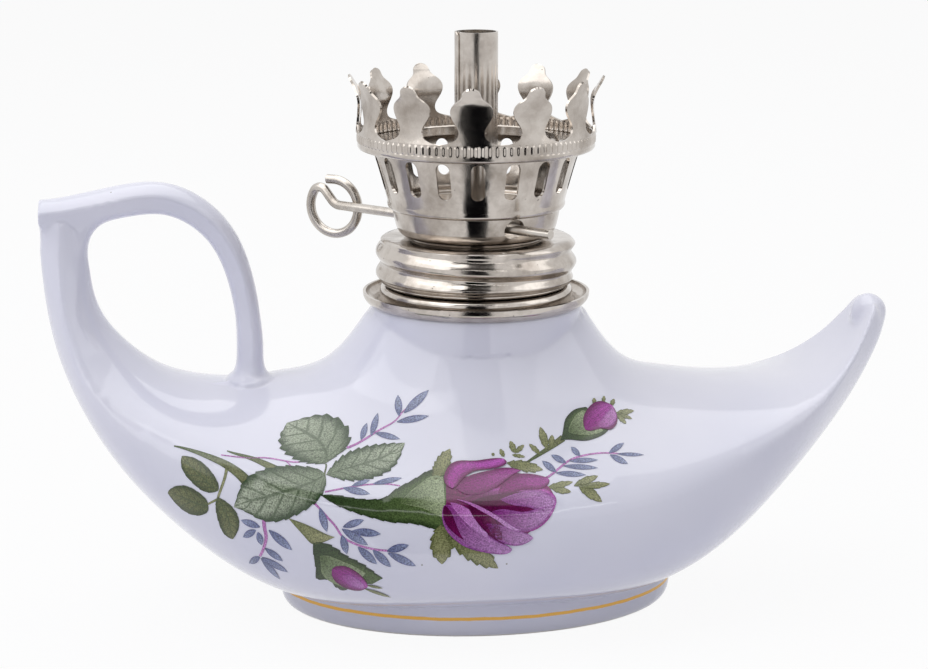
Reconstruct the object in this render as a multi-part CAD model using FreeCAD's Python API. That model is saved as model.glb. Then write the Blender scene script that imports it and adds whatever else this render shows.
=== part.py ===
"""Miniature kerosene lamp: a boat-shaped porcelain font with a ring handle and a nickel-plated burner.

The origin is the middle of the foot where it stands. +X points to the spout, the handle is at -X,
+Y is the side away from the decorated face and +Z is up. Every length is in millimetres.
"""
import FreeCAD
import Part
import math
import os

Vector = FreeCAD.Vector

# Porcelain font: reach of the hull, and the heights of its lines.
half_length = 53.5
half_beam = 25.0
tail_height = 51.5
wall = 2.7
crown_share = 0.573
neck_rise = 8.9

# Lines of the hull from tail peak to spout tip. Lengthwise places are shares of the half length,
# widths are shares of the half beam and heights are shares of the tail height.
keel_shares = [
    (-1.000, 0.0, 0.955), (-0.998, 0.0, 0.880), (-0.992, 0.0, 0.790), (-0.974, 0.0, 0.672),
    (-0.928, 0.0, 0.535), (-0.835, 0.0, 0.372), (-0.700, 0.0, 0.222), (-0.540, 0.0, 0.102),
    (-0.330, 0.0, 0.040), (0.000, 0.0, 0.030), (0.330, 0.0, 0.045), (0.530, 0.0, 0.120),
    (0.680, 0.0, 0.235), (0.800, 0.0, 0.362), (0.898, 0.0, 0.490), (0.962, 0.0, 0.612),
    (0.982, 0.0, 0.690), (0.966, 0.0, 0.750),
]
bilge_shares = [
    (-0.968, 0.092, 0.955), (-0.971, 0.100, 0.880), (-0.970, 0.135, 0.785), (-0.948, 0.200, 0.672),
    (-0.895, 0.320, 0.535), (-0.790, 0.455, 0.392), (-0.650, 0.590, 0.265), (-0.490, 0.700, 0.165),
    (-0.290, 0.780, 0.115), (0.000, 0.805, 0.103), (0.290, 0.760, 0.120), (0.490, 0.650, 0.182),
    (0.635, 0.510, 0.280), (0.762, 0.370, 0.398), (0.865, 0.250, 0.520), (0.936, 0.160, 0.632),
    (0.964, 0.105, 0.697), (0.957, 0.050, 0.750),
]
ridge_shares = [
    (-0.940, 0.100, 0.955), (-0.947, 0.125, 0.880), (-0.950, 0.185, 0.795), (-0.925, 0.270, 0.680),
    (-0.850, 0.395, 0.575), (-0.715, 0.565, 0.500), (-0.560, 0.740, 0.440), (-0.374, 0.888, 0.396),
    (-0.180, 0.975, 0.376), (0.020, 1.000, 0.370), (0.243, 0.950, 0.376), (0.467, 0.820, 0.415),
    (0.663, 0.628, 0.480), (0.785, 0.472, 0.540), (0.872, 0.320, 0.620), (0.922, 0.200, 0.700),
    (0.938, 0.125, 0.733), (0.946, 0.050, 0.750),
]
deck_shares = [
    (-0.895, 0.0, 0.955), (-0.889, 0.0, 0.880), (-0.882, 0.0, 0.795), (-0.852, 0.0, 0.716),
    (-0.790, 0.0, 0.645), (-0.700, 0.0, 0.585), (-0.560, 0.0, 0.560), (-0.380, 0.0, 0.566),
    (-0.180, 0.0, 0.570), (0.020, 0.0, 0.573), (0.243, 0.0, 0.568), (0.467, 0.0, 0.550),
    (0.663, 0.0, 0.540), (0.785, 0.0, 0.556), (0.868, 0.0, 0.612), (0.912, 0.0, 0.675),
    (0.930, 0.0, 0.720), (0.941, 0.0, 0.750),
]
station_count = 29
cavity_station_count = 11
crown_points = 9
cavity_first_share = 0.19
cavity_last_share = 0.85
ridge_wall_share = 1.7
cavity_end_radius = 1.2

# Flare that rises from the deck to the neck.
flare_rise = 16.0
flare_outset = 0.2
flare_power = 5.2
flare_reach = 32.0

# Neck, its spigot and its bore.
neck_inset = 0.1
neck_ring_height = 1.0
spigot_height = 5.0
spigot_wall = 1.8

# Oval foot with a recessed base.
foot_half_length = 24.9
foot_half_width = 18.0
foot_height = 5.2
foot_rim = 3.2
foot_recess = 1.2
foot_edge = 0.9

# Ring handle: the middle line of the strap, as shares of the half length and the tail height.
strap_shares = [
    (-1.002, 0.976), (-0.925, 0.980), (-0.845, 0.996), (-0.748, 1.010), (-0.664, 0.988),
    (-0.592, 0.922), (-0.550, 0.825), (-0.531, 0.720), (-0.527, 0.625), (-0.530, 0.545),
]
strap_girth_shares = [1.06, 1.12, 1.08, 1.0, 1.0, 0.98, 0.95, 0.94, 1.02, 1.70]
strap_section_shares = [(0.0, 0.50), (0.38, 0.33), (0.50, 0.04), (0.36, -0.40), (0.0, -0.50)]
strap_width = 5.0
strap_depth = 3.4
strap_stations = 21

# Collar that is cemented on the spigot: thread tube, shoulder and dish flange.
sheet = 0.45
collar_radius = 11.1
collar_rise = 7.5
shoulder_reach = 0.9
shoulder_rise = 2.0
flange_reach = 2.8
flange_slope = 0.7
flange_lip = 1.2
cement_rise = 4.6
cement_wall = 0.65

# Screw cap with two rolled thread turns, whose disc rests on the collar.
cap_reach = 1.4
cap_crest = 0.9
cap_crest_drop = 1.7
cap_pitch = 2.65
cap_depth = 5.4
cap_edge_inset = 0.6
boss_inset = 1.1
boss_width = 1.2
boss_rise = 0.5

# Burner basket, its slots and its step.
basket_foot_inset = 0.7
basket_ledge = 0.45
basket_flare = 2.05
basket_foot_rise = 0.6
basket_band_rise = 3.3
basket_step_rise = 3.8
basket_rise = 11.0
slot_count = 18
slot_turn = 3.9
slot_width = 1.75
slot_bottom_rise = 5.7
slot_top_rise = 10.2

# Chimney shelf and crown with its prongs.
shelf_width = 4.3
shelf_rim = 0.7
crown_radius = 14.6
crown_lip = 2.1
crown_gap = 0.7
crown_band = 2.1
prong_count = 12
prong_turn = -9.5
prong_base = 4.0
prong_waist = 3.2
prong_belly = 5.3
prong_tip = 2.1
prong_rise = 6.5
prong_waist_rise = 1.0
prong_belly_rise = 3.6
prong_neck_rise = 5.3
prong_lean_in = 0.5
prong_curl_out = 1.3

# Wick tube and its ferrule.
tube_radius = 2.7
tube_sheet = 0.3
tube_above_shelf = 13.4
tube_below_disc = 5.5
tube_seam = 0.3
ferrule_radius = 3.7
ferrule_rise = 0.3
ferrule_wall = 0.3

# Winder: bent wire with a loop, and its toothed wheel beside the tube.
wire_radius = 0.6
winder_offset = 4.0
winder_rise = 1.9
winder_angle = -46.7
stub_reach = 14.8
shank_reach = 19.2
rise_radius = 2.0
rise_turn = 45.0
rise_run = 1.5
crook_radius = 1.3
crook_turn = -105.0
loop_radius = 3.5
loop_turn = -300.0
loop_swing = 12.0
loop_tail = 1.0
bend_step = 15.0
mitred_corners = 1
wheel_radius = 1.9
wheel_root = 1.4
wheel_thickness = 0.7
wheel_teeth = 12

# Wick.
wick_radius = 1.95
wick_below_tube_top = 2.0
wick_above_floor = 4.5

# Clearances, and the overrun of every cut.
running_gap = 0.35
fit_gap = 0.03
over = 1.0

# Radii worked out from the collar's, which the neck, its spigot and the cap follow.
spigot_radius = collar_radius - sheet - cement_wall
bore_radius = spigot_radius - spigot_wall
shoulder_radius = collar_radius + shoulder_reach
flange_radius = collar_radius + flange_reach
flange_floor_radius = flange_radius - flange_slope
neck_radius = flange_floor_radius - neck_inset
flare_radius = neck_radius + flare_outset
cap_radius = collar_radius + cap_reach
cap_edge_radius = cap_radius - cap_edge_inset

# Radii worked out from the crown's, which the shelf, the basket and its boss follow.
shelf_outer_radius = crown_radius - crown_gap
shelf_inner_radius = shelf_outer_radius - shelf_width
basket_rim_radius = crown_radius - crown_lip
basket_step_radius = basket_rim_radius - basket_flare
basket_band_radius = basket_step_radius - basket_ledge
basket_foot_radius = basket_band_radius - basket_foot_inset
boss_radius = basket_foot_radius - boss_inset

# Heights worked out from the sizes above.
deck_crown = tail_height * crown_share
neck_top = deck_crown + neck_rise
spigot_top = neck_top + spigot_height
collar_top = neck_top + collar_rise
cap_top = collar_top + sheet
basket_floor = cap_top + boss_rise
basket_top = basket_floor + basket_rise
shelf_top = basket_top + sheet
band_top = shelf_top + crown_band
tube_top = shelf_top + tube_above_shelf
tube_bottom = cap_top - tube_below_disc
winder_height = basket_floor + winder_rise
ferrule_bore_radius = tube_radius + fit_gap
ferrule_barrel_radius = ferrule_bore_radius + ferrule_wall
full_turn = 360.0
axis_up = Vector(0, 0, 1)


def cylinder(radius, bottom, top):
    """Upright solid cylinder on the burner axis between two heights."""
    return Part.makeCylinder(radius, top - bottom, Vector(0, 0, bottom))


def tube(outer, inner, bottom, top):
    """Upright ring on the burner axis between two heights."""
    return cylinder(outer, bottom, top).cut(cylinder(inner, bottom - over, top + over))


def smooth_curve(points):
    """Smooth curve through the points, which are evenly spread over its parameter."""
    curve = Part.BSplineCurve()
    last = len(points) - 1
    curve.interpolate(Points=points, Parameters=[index / last for index in range(len(points))])
    return curve


def spline(points):
    """Smooth edge through the points."""
    return smooth_curve(points).toShape()


def offset_points(points, distance):
    """Points of a sheet's inner side, each moved square to the line through its neighbours."""
    moved = []
    last = len(points) - 1
    for index, point in enumerate(points):
        along = (points[min(index + 1, last)] - points[max(index - 1, 0)]).normalize()
        moved.append(point + Vector(-along.z, 0, along.x) * distance)
    return moved


def spun_sheet(outline):
    """Sheet-metal ring: an outer line of (radius, height) points and its inner side, spun round Z."""
    outer = [Vector(radius, 0, height) for radius, height in outline]
    ring = outer + offset_points(outer, sheet)[::-1]
    return Part.Face(Part.makePolygon(ring + ring[:1])).revolve(Vector(0, 0, 0), axis_up, full_turn)


def toward(point, target, distance):
    """Point moved by a distance toward a target."""
    return point + (target - point).normalize() * distance


def hull_line(shares):
    """Smooth curve of one hull line, from the tail peak to the spout tip."""
    return smooth_curve([Vector(x * half_length, y * half_beam, z * tail_height) for x, y, z in shares])


def flare_height(x, y, inset):
    """Rise of the neck flare above the deck at a place in plan."""
    here = math.hypot(x, y) / (flare_radius - inset)
    limit = flare_reach / (flare_radius - inset)
    return max(0, flare_rise / (1 + here ** flare_power) - flare_rise / (1 + limit ** flare_power))


def mirrored(point):
    """Point on the far side of the hull's middle plane."""
    return Vector(point.x, -point.y, point.z)


def section_wire(draw, keel, bilge, ridge, deck, inset):
    """Closed section: a bottom drawn from ridge to ridge and a deck back over the crown."""
    bottom = [mirrored(ridge), mirrored(bilge), keel, bilge, ridge]
    top = []
    for index in range(crown_points):
        side = 1 - 2 * index / (crown_points - 1)
        place = deck + (Vector(ridge.x, 0, ridge.z) - deck) * side ** 2
        place.y = ridge.y * side
        place.z += flare_height(place.x, place.y, inset) * (1 - side ** 2)
        top.append(place)
    return Part.Wire(draw(bottom).Edges + draw(top).Edges)


def skin_section(lines, share):
    """Section of the hull's outer skin at a share of its length."""
    keel, bilge, ridge, deck = [line.value(share) for line in lines]
    return section_wire(spline, keel, bilge, ridge, deck, 0)


def cavity_section(lines, share):
    """Section of the cavity: the skin's section moved inward by the wall."""
    keel, bilge, ridge, deck = [line.value(share) for line in lines]
    middle = (keel + deck) * 0.5
    ridge_wall = wall * ridge_wall_share
    return section_wire(
        Part.makePolygon, toward(keel, deck, wall), toward(bilge, middle, wall),
        toward(ridge, middle, ridge_wall), toward(deck, keel, wall), wall)


def cavity_end(lines, share):
    """Small flat section that closes one end of the cavity."""
    middle = (lines[0].value(share) + lines[-1].value(share)) * 0.5
    up = Vector(0, 0, cavity_end_radius)
    out = Vector(0, cavity_end_radius, 0)
    lower = middle + (out - up) * math.sqrt(0.5)
    return section_wire(Part.makePolygon, middle - up, lower, middle + out, middle + up, 0)


def hull_lines():
    """Keel, bilge, ridge and deck lines of the hull."""
    return [hull_line(shares) for shares in (keel_shares, bilge_shares, ridge_shares, deck_shares)]


def stations(first_share, last_share, count):
    """Shares of the hull's length at which sections are taken, evenly spread."""
    return [first_share + (last_share - first_share) * index / (count - 1) for index in range(count)]


def hull_skin():
    """Solid inside the hull's outer skin, from tail peak to spout tip."""
    lines = hull_lines()
    sections = [skin_section(lines, share) for share in stations(0, 1, station_count)]
    return Part.makeLoft(sections, True, False)


def hull_cavity():
    """Solid of the space inside the hull's walls, drawn in at both ends."""
    lines = hull_lines()
    shares = stations(cavity_first_share, cavity_last_share, cavity_station_count)
    sections = [cavity_section(lines, share) for share in shares[1:-1]]
    first, last = cavity_end(lines, shares[0]), cavity_end(lines, shares[-1])
    return Part.makeLoft([first] + sections + [last], True, True)


def oval(half_x, half_y, height):
    """Flat oval wire round the burner axis."""
    return Part.Wire(Part.Ellipse(Vector(0, 0, height), half_x, half_y).toShape())


def foot():
    """Oval foot with a rounded standing edge, without its recess."""
    block = Part.Face(oval(foot_half_length, foot_half_width, 0)).extrude(Vector(0, 0, foot_height))
    edges = [edge for edge in block.Edges if edge.BoundBox.ZMax < foot_edge]
    return block.makeFillet(foot_edge, edges)


def foot_recess_tool():
    """Shallow oval recess inside the foot's standing rim."""
    bottom = oval(foot_half_length - foot_rim, foot_half_width - foot_rim, -over)
    return Part.Face(bottom).extrude(Vector(0, 0, over + foot_recess))


def porcelain_font():
    """Hollow slip-cast font: hull, flared neck, spigot, foot, cavity and bore."""
    above_neck = cylinder(neck_radius * 2, neck_top - neck_ring_height, tail_height * 2)
    body = hull_skin().cut(above_neck)
    body = body.fuse([cylinder(neck_radius, neck_top - 2 * neck_ring_height, neck_top), foot()])
    body = body.fuse(cylinder(spigot_radius, neck_top - over, spigot_top))
    cavity = hull_cavity()
    below_neck = cylinder(neck_radius * 2, neck_top - neck_ring_height, tail_height * 2)
    cavity = cavity.cut(below_neck)
    bore = cylinder(bore_radius, deck_crown - wall, spigot_top + over)
    return body.cut(cavity.fuse(bore)).cut(foot_recess_tool())


def strap_section(place, along, girth):
    """Edged, outward-crowned section of the handle strap, square to its middle line."""
    out = Vector(-along.z, 0, along.x)
    half = [Vector(0, y, 0) * strap_width * girth + out * z * strap_depth * girth
            for y, z in strap_section_shares]
    ring = half + [mirrored(point) for point in reversed(half[1:-1])] + half[:1]
    return Part.makePolygon([place + point for point in ring])


def handle_strap(font):
    """Ring handle from the tail peak over to the deck, trimmed where it is luted on the font."""
    line = Part.BSplineCurve()
    line.interpolate([Vector(x * half_length, 0, z * tail_height) for x, z in strap_shares])
    first, last = line.FirstParameter, line.LastParameter
    sections = []
    for index in range(strap_stations):
        share = index / (strap_stations - 1)
        parameter = first + (last - first) * share
        slot = share * (len(strap_girth_shares) - 1)
        low = min(int(slot), len(strap_girth_shares) - 2)
        near, far = strap_girth_shares[low:low + 2]
        along = line.tangent(parameter)[0]
        sections.append(strap_section(line.value(parameter), along, near + (far - near) * (slot - low)))
    strap = Part.makeLoft(sections, True, False).cut(font)
    return max(strap.Solids, key=lambda solid: solid.Volume)


def neck_collar():
    """Collar with a thread tube, a wider shoulder and a dish flange with an upturned lip."""
    floor = neck_top
    outline = [
        (collar_radius - sheet, floor), (flange_floor_radius, floor),
        (flange_radius, floor + flange_lip / 2), (flange_radius, floor + flange_lip),
    ]
    dish = spun_sheet(outline)
    shoulder = tube(shoulder_radius, collar_radius - sheet, floor, floor + shoulder_rise)
    thread = tube(collar_radius, collar_radius - sheet, floor, collar_top)
    return dish.fuse([shoulder, thread])


def collar_cement():
    """Plaster ring that holds the collar on the spigot."""
    return tube(collar_radius - sheet, spigot_radius, neck_top, neck_top + cement_rise)


def screw_cap():
    """Cap whose wall is rolled into two thread turns, under a flat disc with a raised seat."""
    outline = [(cap_edge_radius, cap_top - cap_depth)]
    for crest in (cap_top - cap_crest_drop - cap_pitch, cap_top - cap_crest_drop):
        outline += [(cap_radius, crest - cap_crest / 2), (cap_radius, crest + cap_crest / 2)]
        outline += [(cap_edge_radius, crest + cap_pitch / 2)]
    outline[-1] = (cap_edge_radius, cap_top)
    disc = tube(cap_edge_radius, ferrule_barrel_radius + fit_gap, collar_top, cap_top)
    seat = tube(boss_radius, boss_radius - boss_width, cap_top - sheet / 2, basket_floor)
    return spun_sheet(outline).fuse([disc, seat])


def slot_tool(index):
    """Round-ended cutter of one basket slot."""
    radius = slot_width / 2
    low = basket_floor + slot_bottom_rise + radius
    high = basket_floor + slot_top_rise - radius
    reach = basket_rim_radius + over
    outward = Vector(1, 0, 0)
    middle = Part.makeBox(reach, slot_width, high - low, Vector(0, -radius, low))
    ends = [Part.makeCylinder(radius, reach, Vector(0, 0, height), outward) for height in (low, high)]
    cutter = middle.fuse(ends)
    cutter.rotate(Vector(0, 0, 0), axis_up, slot_turn + full_turn * index / slot_count)
    return cutter


def winder_direction():
    """Unit vector along the winder, from its loop to its stub."""
    angle = math.radians(winder_angle)
    return Vector(math.cos(angle), math.sin(angle), 0)


def winder_foot():
    """Point of the winder's axis that is nearest to the wick tube."""
    along = winder_direction()
    return Vector(along.y, -along.x, 0) * winder_offset + Vector(0, 0, winder_height)


def burner_basket():
    """Slotted cup with a lower band, a step and two holes for the winder."""
    outline = [
        (boss_radius - boss_width, basket_floor), (boss_radius, basket_floor),
        (basket_foot_radius, basket_floor + basket_foot_rise),
        (basket_band_radius, basket_floor + basket_band_rise),
        (basket_step_radius, basket_floor + basket_step_rise), (basket_rim_radius, basket_top),
    ]
    above_rim = cylinder(basket_rim_radius + over, basket_top, basket_top + over)
    cup = spun_sheet(outline).cut([above_rim] + [slot_tool(index) for index in range(slot_count)])
    reach = basket_rim_radius * 2
    along = winder_direction()
    hole = Part.makeCylinder(wire_radius + running_gap, reach * 2, winder_foot() - along * reach, along)
    return cup.cut(hole)


def chimney_shelf():
    """Flat ring that a chimney would stand on, with a low inner rim."""
    flat = tube(shelf_outer_radius, shelf_inner_radius, basket_top, shelf_top)
    rim = tube(shelf_inner_radius + sheet, shelf_inner_radius, basket_top, shelf_top + shelf_rim)
    return flat.fuse(rim)


def prong_outline():
    """Spade-shaped face of one prong, seen from outside, that widens into the band below."""
    half_widths = [prong_base, prong_base / 2, prong_waist / 2, prong_belly / 2, prong_tip / 2]
    rises = [-crown_band / 2, 0, prong_waist_rise, prong_belly_rise, prong_neck_rise]
    right = [Vector(0, y, band_top + rise) for y, rise in zip(half_widths, rises)]
    left = [mirrored(point) for point in right]
    tip = Vector(0, 0, band_top + prong_rise)
    edges = [
        spline(right), Part.Arc(right[-1], tip, left[-1]).toShape(),
        spline(left[::-1]), Part.makeLine(left[0], right[0]),
    ]
    return Part.Face(Part.Wire(edges))


def crown_gallery():
    """Crown: an inturned lip under the shelf, a band, and a ring of prongs that curl outward."""
    lip = basket_top - sheet
    band = [
        (basket_rim_radius + fit_gap, lip), (crown_radius - sheet / 2, lip),
        (crown_radius, lip + sheet), (crown_radius, band_top),
    ]
    curl = [
        (crown_radius, band_top - crown_band / 2), (crown_radius, band_top),
        (crown_radius - prong_lean_in, band_top + prong_belly_rise),
        (crown_radius, band_top + prong_neck_rise),
        (crown_radius + prong_curl_out, band_top + prong_rise + over),
    ]
    leaf = spun_sheet(curl)
    cutter = prong_outline().extrude(Vector(crown_radius * 2, 0, 0))
    prongs = []
    for index in range(prong_count):
        tool = cutter.copy()
        tool.rotate(Vector(0, 0, 0), axis_up, prong_turn + full_turn * index / prong_count)
        prongs.append(leaf.common(tool))
    return spun_sheet(band).fuse(prongs)


def wick_tube():
    """Rolled tube with an open seam and a window for the feed wheel."""
    shell = tube(tube_radius, tube_radius - tube_sheet, tube_bottom, tube_top)
    seam = Part.makeBox(
        tube_radius + over, tube_seam, tube_top - basket_floor + over,
        Vector(-tube_radius - over, -tube_seam / 2, basket_floor))
    reach = wheel_radius + running_gap
    width = wheel_thickness + 2 * running_gap
    window = Part.makeCylinder(reach, width)
    window.Placement = FreeCAD.Placement(
        winder_foot() - winder_direction() * (width / 2),
        FreeCAD.Rotation(axis_up, winder_direction()))
    return shell.cut([seam, window])


def tube_ferrule():
    """Eyelet through the cap's disc, flanged above and below it, that holds the wick tube."""
    low, high = collar_top - ferrule_rise, cap_top + ferrule_rise
    under = tube(ferrule_radius, ferrule_bore_radius, low, collar_top)
    above = tube(ferrule_radius, ferrule_bore_radius, cap_top, high)
    return tube(ferrule_barrel_radius, ferrule_bore_radius, low, high).fuse([under, above])


def winder_point(outward, up, hinge, swing):
    """Point of the winder's upright plane, swung sideways about an upright line at the hinge."""
    along = winder_direction()
    aside = Vector(-along.y, along.x, 0)
    back = hinge - outward
    angle = math.radians(swing)
    return (winder_foot() - along * (hinge - back * math.cos(angle)) + aside * (back * math.sin(angle))
            + Vector(0, 0, up))


def winder_wire():
    """Winder: a straight shank with a stub, bent up and over into an open loop that is swung aside."""
    start = winder_foot() + winder_direction() * stub_reach
    outward, up, heading = shank_reach, 0, 0
    points = [start, winder_point(outward, up, 0, 0)]
    bends = [(0, rise_radius, rise_turn, 0), (rise_run, crook_radius, crook_turn, 0),
             (0, loop_radius, loop_turn, loop_swing)]
    for run, radius, turn, swing in bends:
        if run > 0:
            outward, up = outward + run * math.cos(heading), up + run * math.sin(heading)
            points.append(winder_point(outward, up, 0, 0))
        hinge = outward
        steps = math.ceil(abs(turn) / bend_step)
        half_step = math.radians(turn) / steps / 2
        chord = 2 * radius * math.sin(abs(half_step))
        for _ in range(steps):
            outward += chord * math.cos(heading + half_step)
            up += chord * math.sin(heading + half_step)
            heading += 2 * half_step
            points.append(winder_point(outward, up, hinge, swing))
    outward, up = outward + loop_tail * math.cos(heading), up + loop_tail * math.sin(heading)
    points.append(winder_point(outward, up, hinge, loop_swing))
    profile = Part.Wire(Part.makeCircle(wire_radius, start, winder_direction()))
    return Part.makePolygon(points).makePipeShell([profile], True, False, mitred_corners)


def feed_wheel():
    """Toothed wheel fixed on the winder beside the wick tube."""
    points = []
    for index in range(wheel_teeth * 2):
        radius = wheel_radius if index % 2 == 0 else wheel_root
        angle = math.pi * index / wheel_teeth
        points.append(Vector(radius * math.cos(angle), radius * math.sin(angle), 0))
    star = Part.Face(Part.makePolygon(points + points[:1])).extrude(Vector(0, 0, wheel_thickness))
    star = star.cut(Part.makeCylinder(wire_radius, wheel_thickness))
    star.Placement = FreeCAD.Placement(
        winder_foot() - winder_direction() * (wheel_thickness / 2),
        FreeCAD.Rotation(axis_up, winder_direction()))
    return star


def wick():
    """Round wick that stands in the tube and hangs to the floor of the font."""
    return cylinder(wick_radius, wall + wick_above_floor, tube_top - wick_below_tube_top)


def build():
    """Every node of the lamp by name."""
    font = porcelain_font()
    return {
        "porcelain_font": font,
        "handle_strap": handle_strap(font),
        "collar_cement": collar_cement(),
        "neck_collar": neck_collar(),
        "screw_cap": screw_cap(),
        "burner_basket": burner_basket(),
        "chimney_shelf": chimney_shelf(),
        "crown_gallery": crown_gallery(),
        "wick_tube": wick_tube(),
        "tube_ferrule": tube_ferrule(),
        "winder_wire": winder_wire(),
        "feed_wheel": feed_wheel(),
        "wick": wick(),
    }


os.makedirs("parts", exist_ok=True)
for name, shape in build().items():
    box = shape.BoundBox
    print(f"{name}: {len(shape.Solids)} solid, {shape.Volume:.1f} mm3, valid {shape.isValid()}, "
          f"x {box.XMin:.1f} to {box.XMax:.1f}, y {box.YMin:.1f} to {box.YMax:.1f}, "
          f"z {box.ZMin:.1f} to {box.ZMax:.1f}")
    shape.exportStep(f"parts/{name}.step")
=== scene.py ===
"""Looks of a miniature boat-shaped porcelain kerosene lamp with a nickel-plated round-wick burner.

Lengths in the classes are in millimetres, and become metres where a mesh is made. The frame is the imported
part's own: +X to the spout, +Z up, the decorated face towards -Y.
"""

import logging
import math
from dataclasses import dataclass, field
from enum import Enum

import bpy
from mathutils import Matrix, Vector
from mathutils.bvhtree import BVHTree

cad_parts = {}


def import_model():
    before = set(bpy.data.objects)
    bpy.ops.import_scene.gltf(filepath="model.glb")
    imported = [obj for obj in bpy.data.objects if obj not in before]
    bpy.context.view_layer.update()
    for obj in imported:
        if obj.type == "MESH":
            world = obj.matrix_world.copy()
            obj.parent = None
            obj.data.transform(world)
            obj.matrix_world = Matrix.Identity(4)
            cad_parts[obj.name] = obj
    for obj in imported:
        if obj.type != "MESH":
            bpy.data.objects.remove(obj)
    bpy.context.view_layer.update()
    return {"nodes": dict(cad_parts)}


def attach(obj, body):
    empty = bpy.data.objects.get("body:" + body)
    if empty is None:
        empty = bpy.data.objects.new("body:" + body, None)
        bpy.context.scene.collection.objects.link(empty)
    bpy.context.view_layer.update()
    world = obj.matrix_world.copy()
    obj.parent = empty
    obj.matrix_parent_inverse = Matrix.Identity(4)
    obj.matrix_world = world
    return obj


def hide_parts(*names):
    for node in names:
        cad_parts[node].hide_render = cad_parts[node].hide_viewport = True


MM = 0.001
TURN = 2 * math.pi
log = logging.getLogger("lamp")

Outline = list[tuple[float, float]]
Shares = tuple[tuple[float, ...], ...]

# A Mix node's colour inputs and output go by index, because several of its sockets share a name.
MIX_COLOURS = {"data_type": "RGBA"}
COLOUR_A, COLOUR_B, MIXED = 6, 7, 2


def activate(piece: bpy.types.Object) -> None:
    """Makes one object the only selected and active one.

    Args:
        piece: the object.
    """
    bpy.ops.object.select_all(action="DESELECT")
    piece.select_set(True)
    bpy.context.view_layer.objects.active = piece


def modify(piece: bpy.types.Object, kind: str, **settings: object) -> None:
    """Adds a modifier with its settings and applies it.

    Args:
        piece: the object to change.
        kind: the modifier's type, such as "SOLIDIFY".
        settings: the modifier's properties by name.
    """
    activate(piece)
    bpy.ops.object.modifier_add(type=kind)
    modifier = piece.modifiers[-1]
    for key, value in settings.items():
        setattr(modifier, key, value)
    bpy.ops.object.modifier_apply(modifier=modifier.name)


def clean_up(piece: bpy.types.Object, smooth_degrees: float) -> None:
    """Merges doubles, points all faces outwards and shades smooth below an angle.

    Args:
        piece: the object to finish.
        smooth_degrees: edges flatter than this are shaded smooth.
    """
    activate(piece)
    bpy.ops.object.mode_set(mode="EDIT")
    bpy.ops.mesh.select_all(action="SELECT")
    bpy.ops.mesh.remove_doubles(threshold=0.002 * MM)
    bpy.ops.mesh.normals_make_consistent(inside=False)
    bpy.ops.object.mode_set(mode="OBJECT")
    bpy.ops.object.shade_smooth_by_angle(angle=math.radians(smooth_degrees))


def turned(name: str, outline: Outline, steps: int) -> bpy.types.Object:
    """Turns an open outline of (radius, height) points once round the burner's axis.

    Args:
        name: the new object's name.
        outline: points from first to last, in millimetres.
        steps: how many faces go round.

    Returns:
        The turned sheet, without thickness.
    """
    points = [Vector((radius, 0.0, height)) * MM for radius, height in outline]
    bpy.ops.object.select_all(action="DESELECT")
    bpy.ops.mesh.primitive_plane_add(size=MM, location=points[0])
    piece = bpy.context.active_object
    piece.name = name
    bpy.ops.object.transform_apply(location=True, rotation=True, scale=True)
    bpy.ops.object.mode_set(mode="EDIT")
    bpy.ops.mesh.select_all(action="SELECT")
    bpy.ops.mesh.merge(type="CENTER")
    for here, there in zip(points, points[1:]):
        bpy.ops.mesh.extrude_vertices_move(TRANSFORM_OT_translate={"value": there - here})
    bpy.ops.mesh.select_all(action="SELECT")
    bpy.ops.mesh.spin(steps=steps, angle=TURN, center=(0, 0, 0), axis=(0, 0, 1))
    bpy.ops.mesh.select_all(action="SELECT")
    bpy.ops.mesh.remove_doubles(threshold=0.001 * MM)
    bpy.ops.mesh.normals_make_consistent(inside=False)
    bpy.ops.object.mode_set(mode="OBJECT")
    return piece


def from_grid(name: str, rows: list[list[Vector]], around: bool) -> bpy.types.Object:
    """Makes a sheet from rows of points.

    Args:
        name: the new object's name.
        rows: rows of points in millimetres, all of one length.
        around: whether each row closes on itself.

    Returns:
        The new object.
    """
    width = len(rows[0])
    last = width if around else width - 1
    faces = [
        (row * width + column, row * width + (column + 1) % width,
         (row + 1) * width + (column + 1) % width, (row + 1) * width + column)
        for row in range(len(rows) - 1) for column in range(last)
    ]
    mesh = bpy.data.meshes.new(name)
    mesh.from_pydata([point * MM for row in rows for point in row], [], faces)
    piece = bpy.data.objects.new(name, mesh)
    bpy.context.scene.collection.objects.link(piece)
    return piece


def joined(name: str, pieces: list[bpy.types.Object]) -> bpy.types.Object:
    """Joins objects into the first one and names it.

    Args:
        name: the joined object's name.
        pieces: the objects to join.

    Returns:
        The joined object.
    """
    activate(pieces[0])
    for piece in pieces:
        piece.select_set(True)
    bpy.ops.object.join()
    pieces[0].name = name
    return pieces[0]


def rounded(outline: Outline, passes: int) -> Outline:
    """Rounds an outline's corners by cutting each of them, with both ends kept.

    Args:
        outline: points of the outline.
        passes: how often every corner is cut.

    Returns:
        The outline with rounder corners and more points.
    """
    points = list(outline)
    for _ in range(passes):
        cut = [points[0]]
        for (ax, az), (bx, bz) in zip(points, points[1:]):
            cut += [(0.75 * ax + 0.25 * bx, 0.75 * az + 0.25 * bz), (0.25 * ax + 0.75 * bx, 0.25 * az + 0.75 * bz)]
        points = [cut[0]] + cut[2:-2] + [points[-1]]
    return points


def along(table: Outline, place: float) -> float:
    """Value of a table of (place, value) points, eased from point to point.

    Args:
        table: points in rising order of place.
        place: where to read the table.

    Returns:
        The value there.
    """
    if place <= table[0][0]:
        return table[0][1]
    for (low, start), (high, end) in zip(table, table[1:]):
        if place <= high:
            share = (place - low) / (high - low)
            return start + (end - start) * share
    return table[-1][1]


def smoothstep(low: float, high: float, value: float) -> float:
    """Rises softly from 0 at low to 1 at high."""
    share = min(1.0, max(0.0, (value - low) / (high - low)))
    return share * share * (3 - 2 * share)


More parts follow.
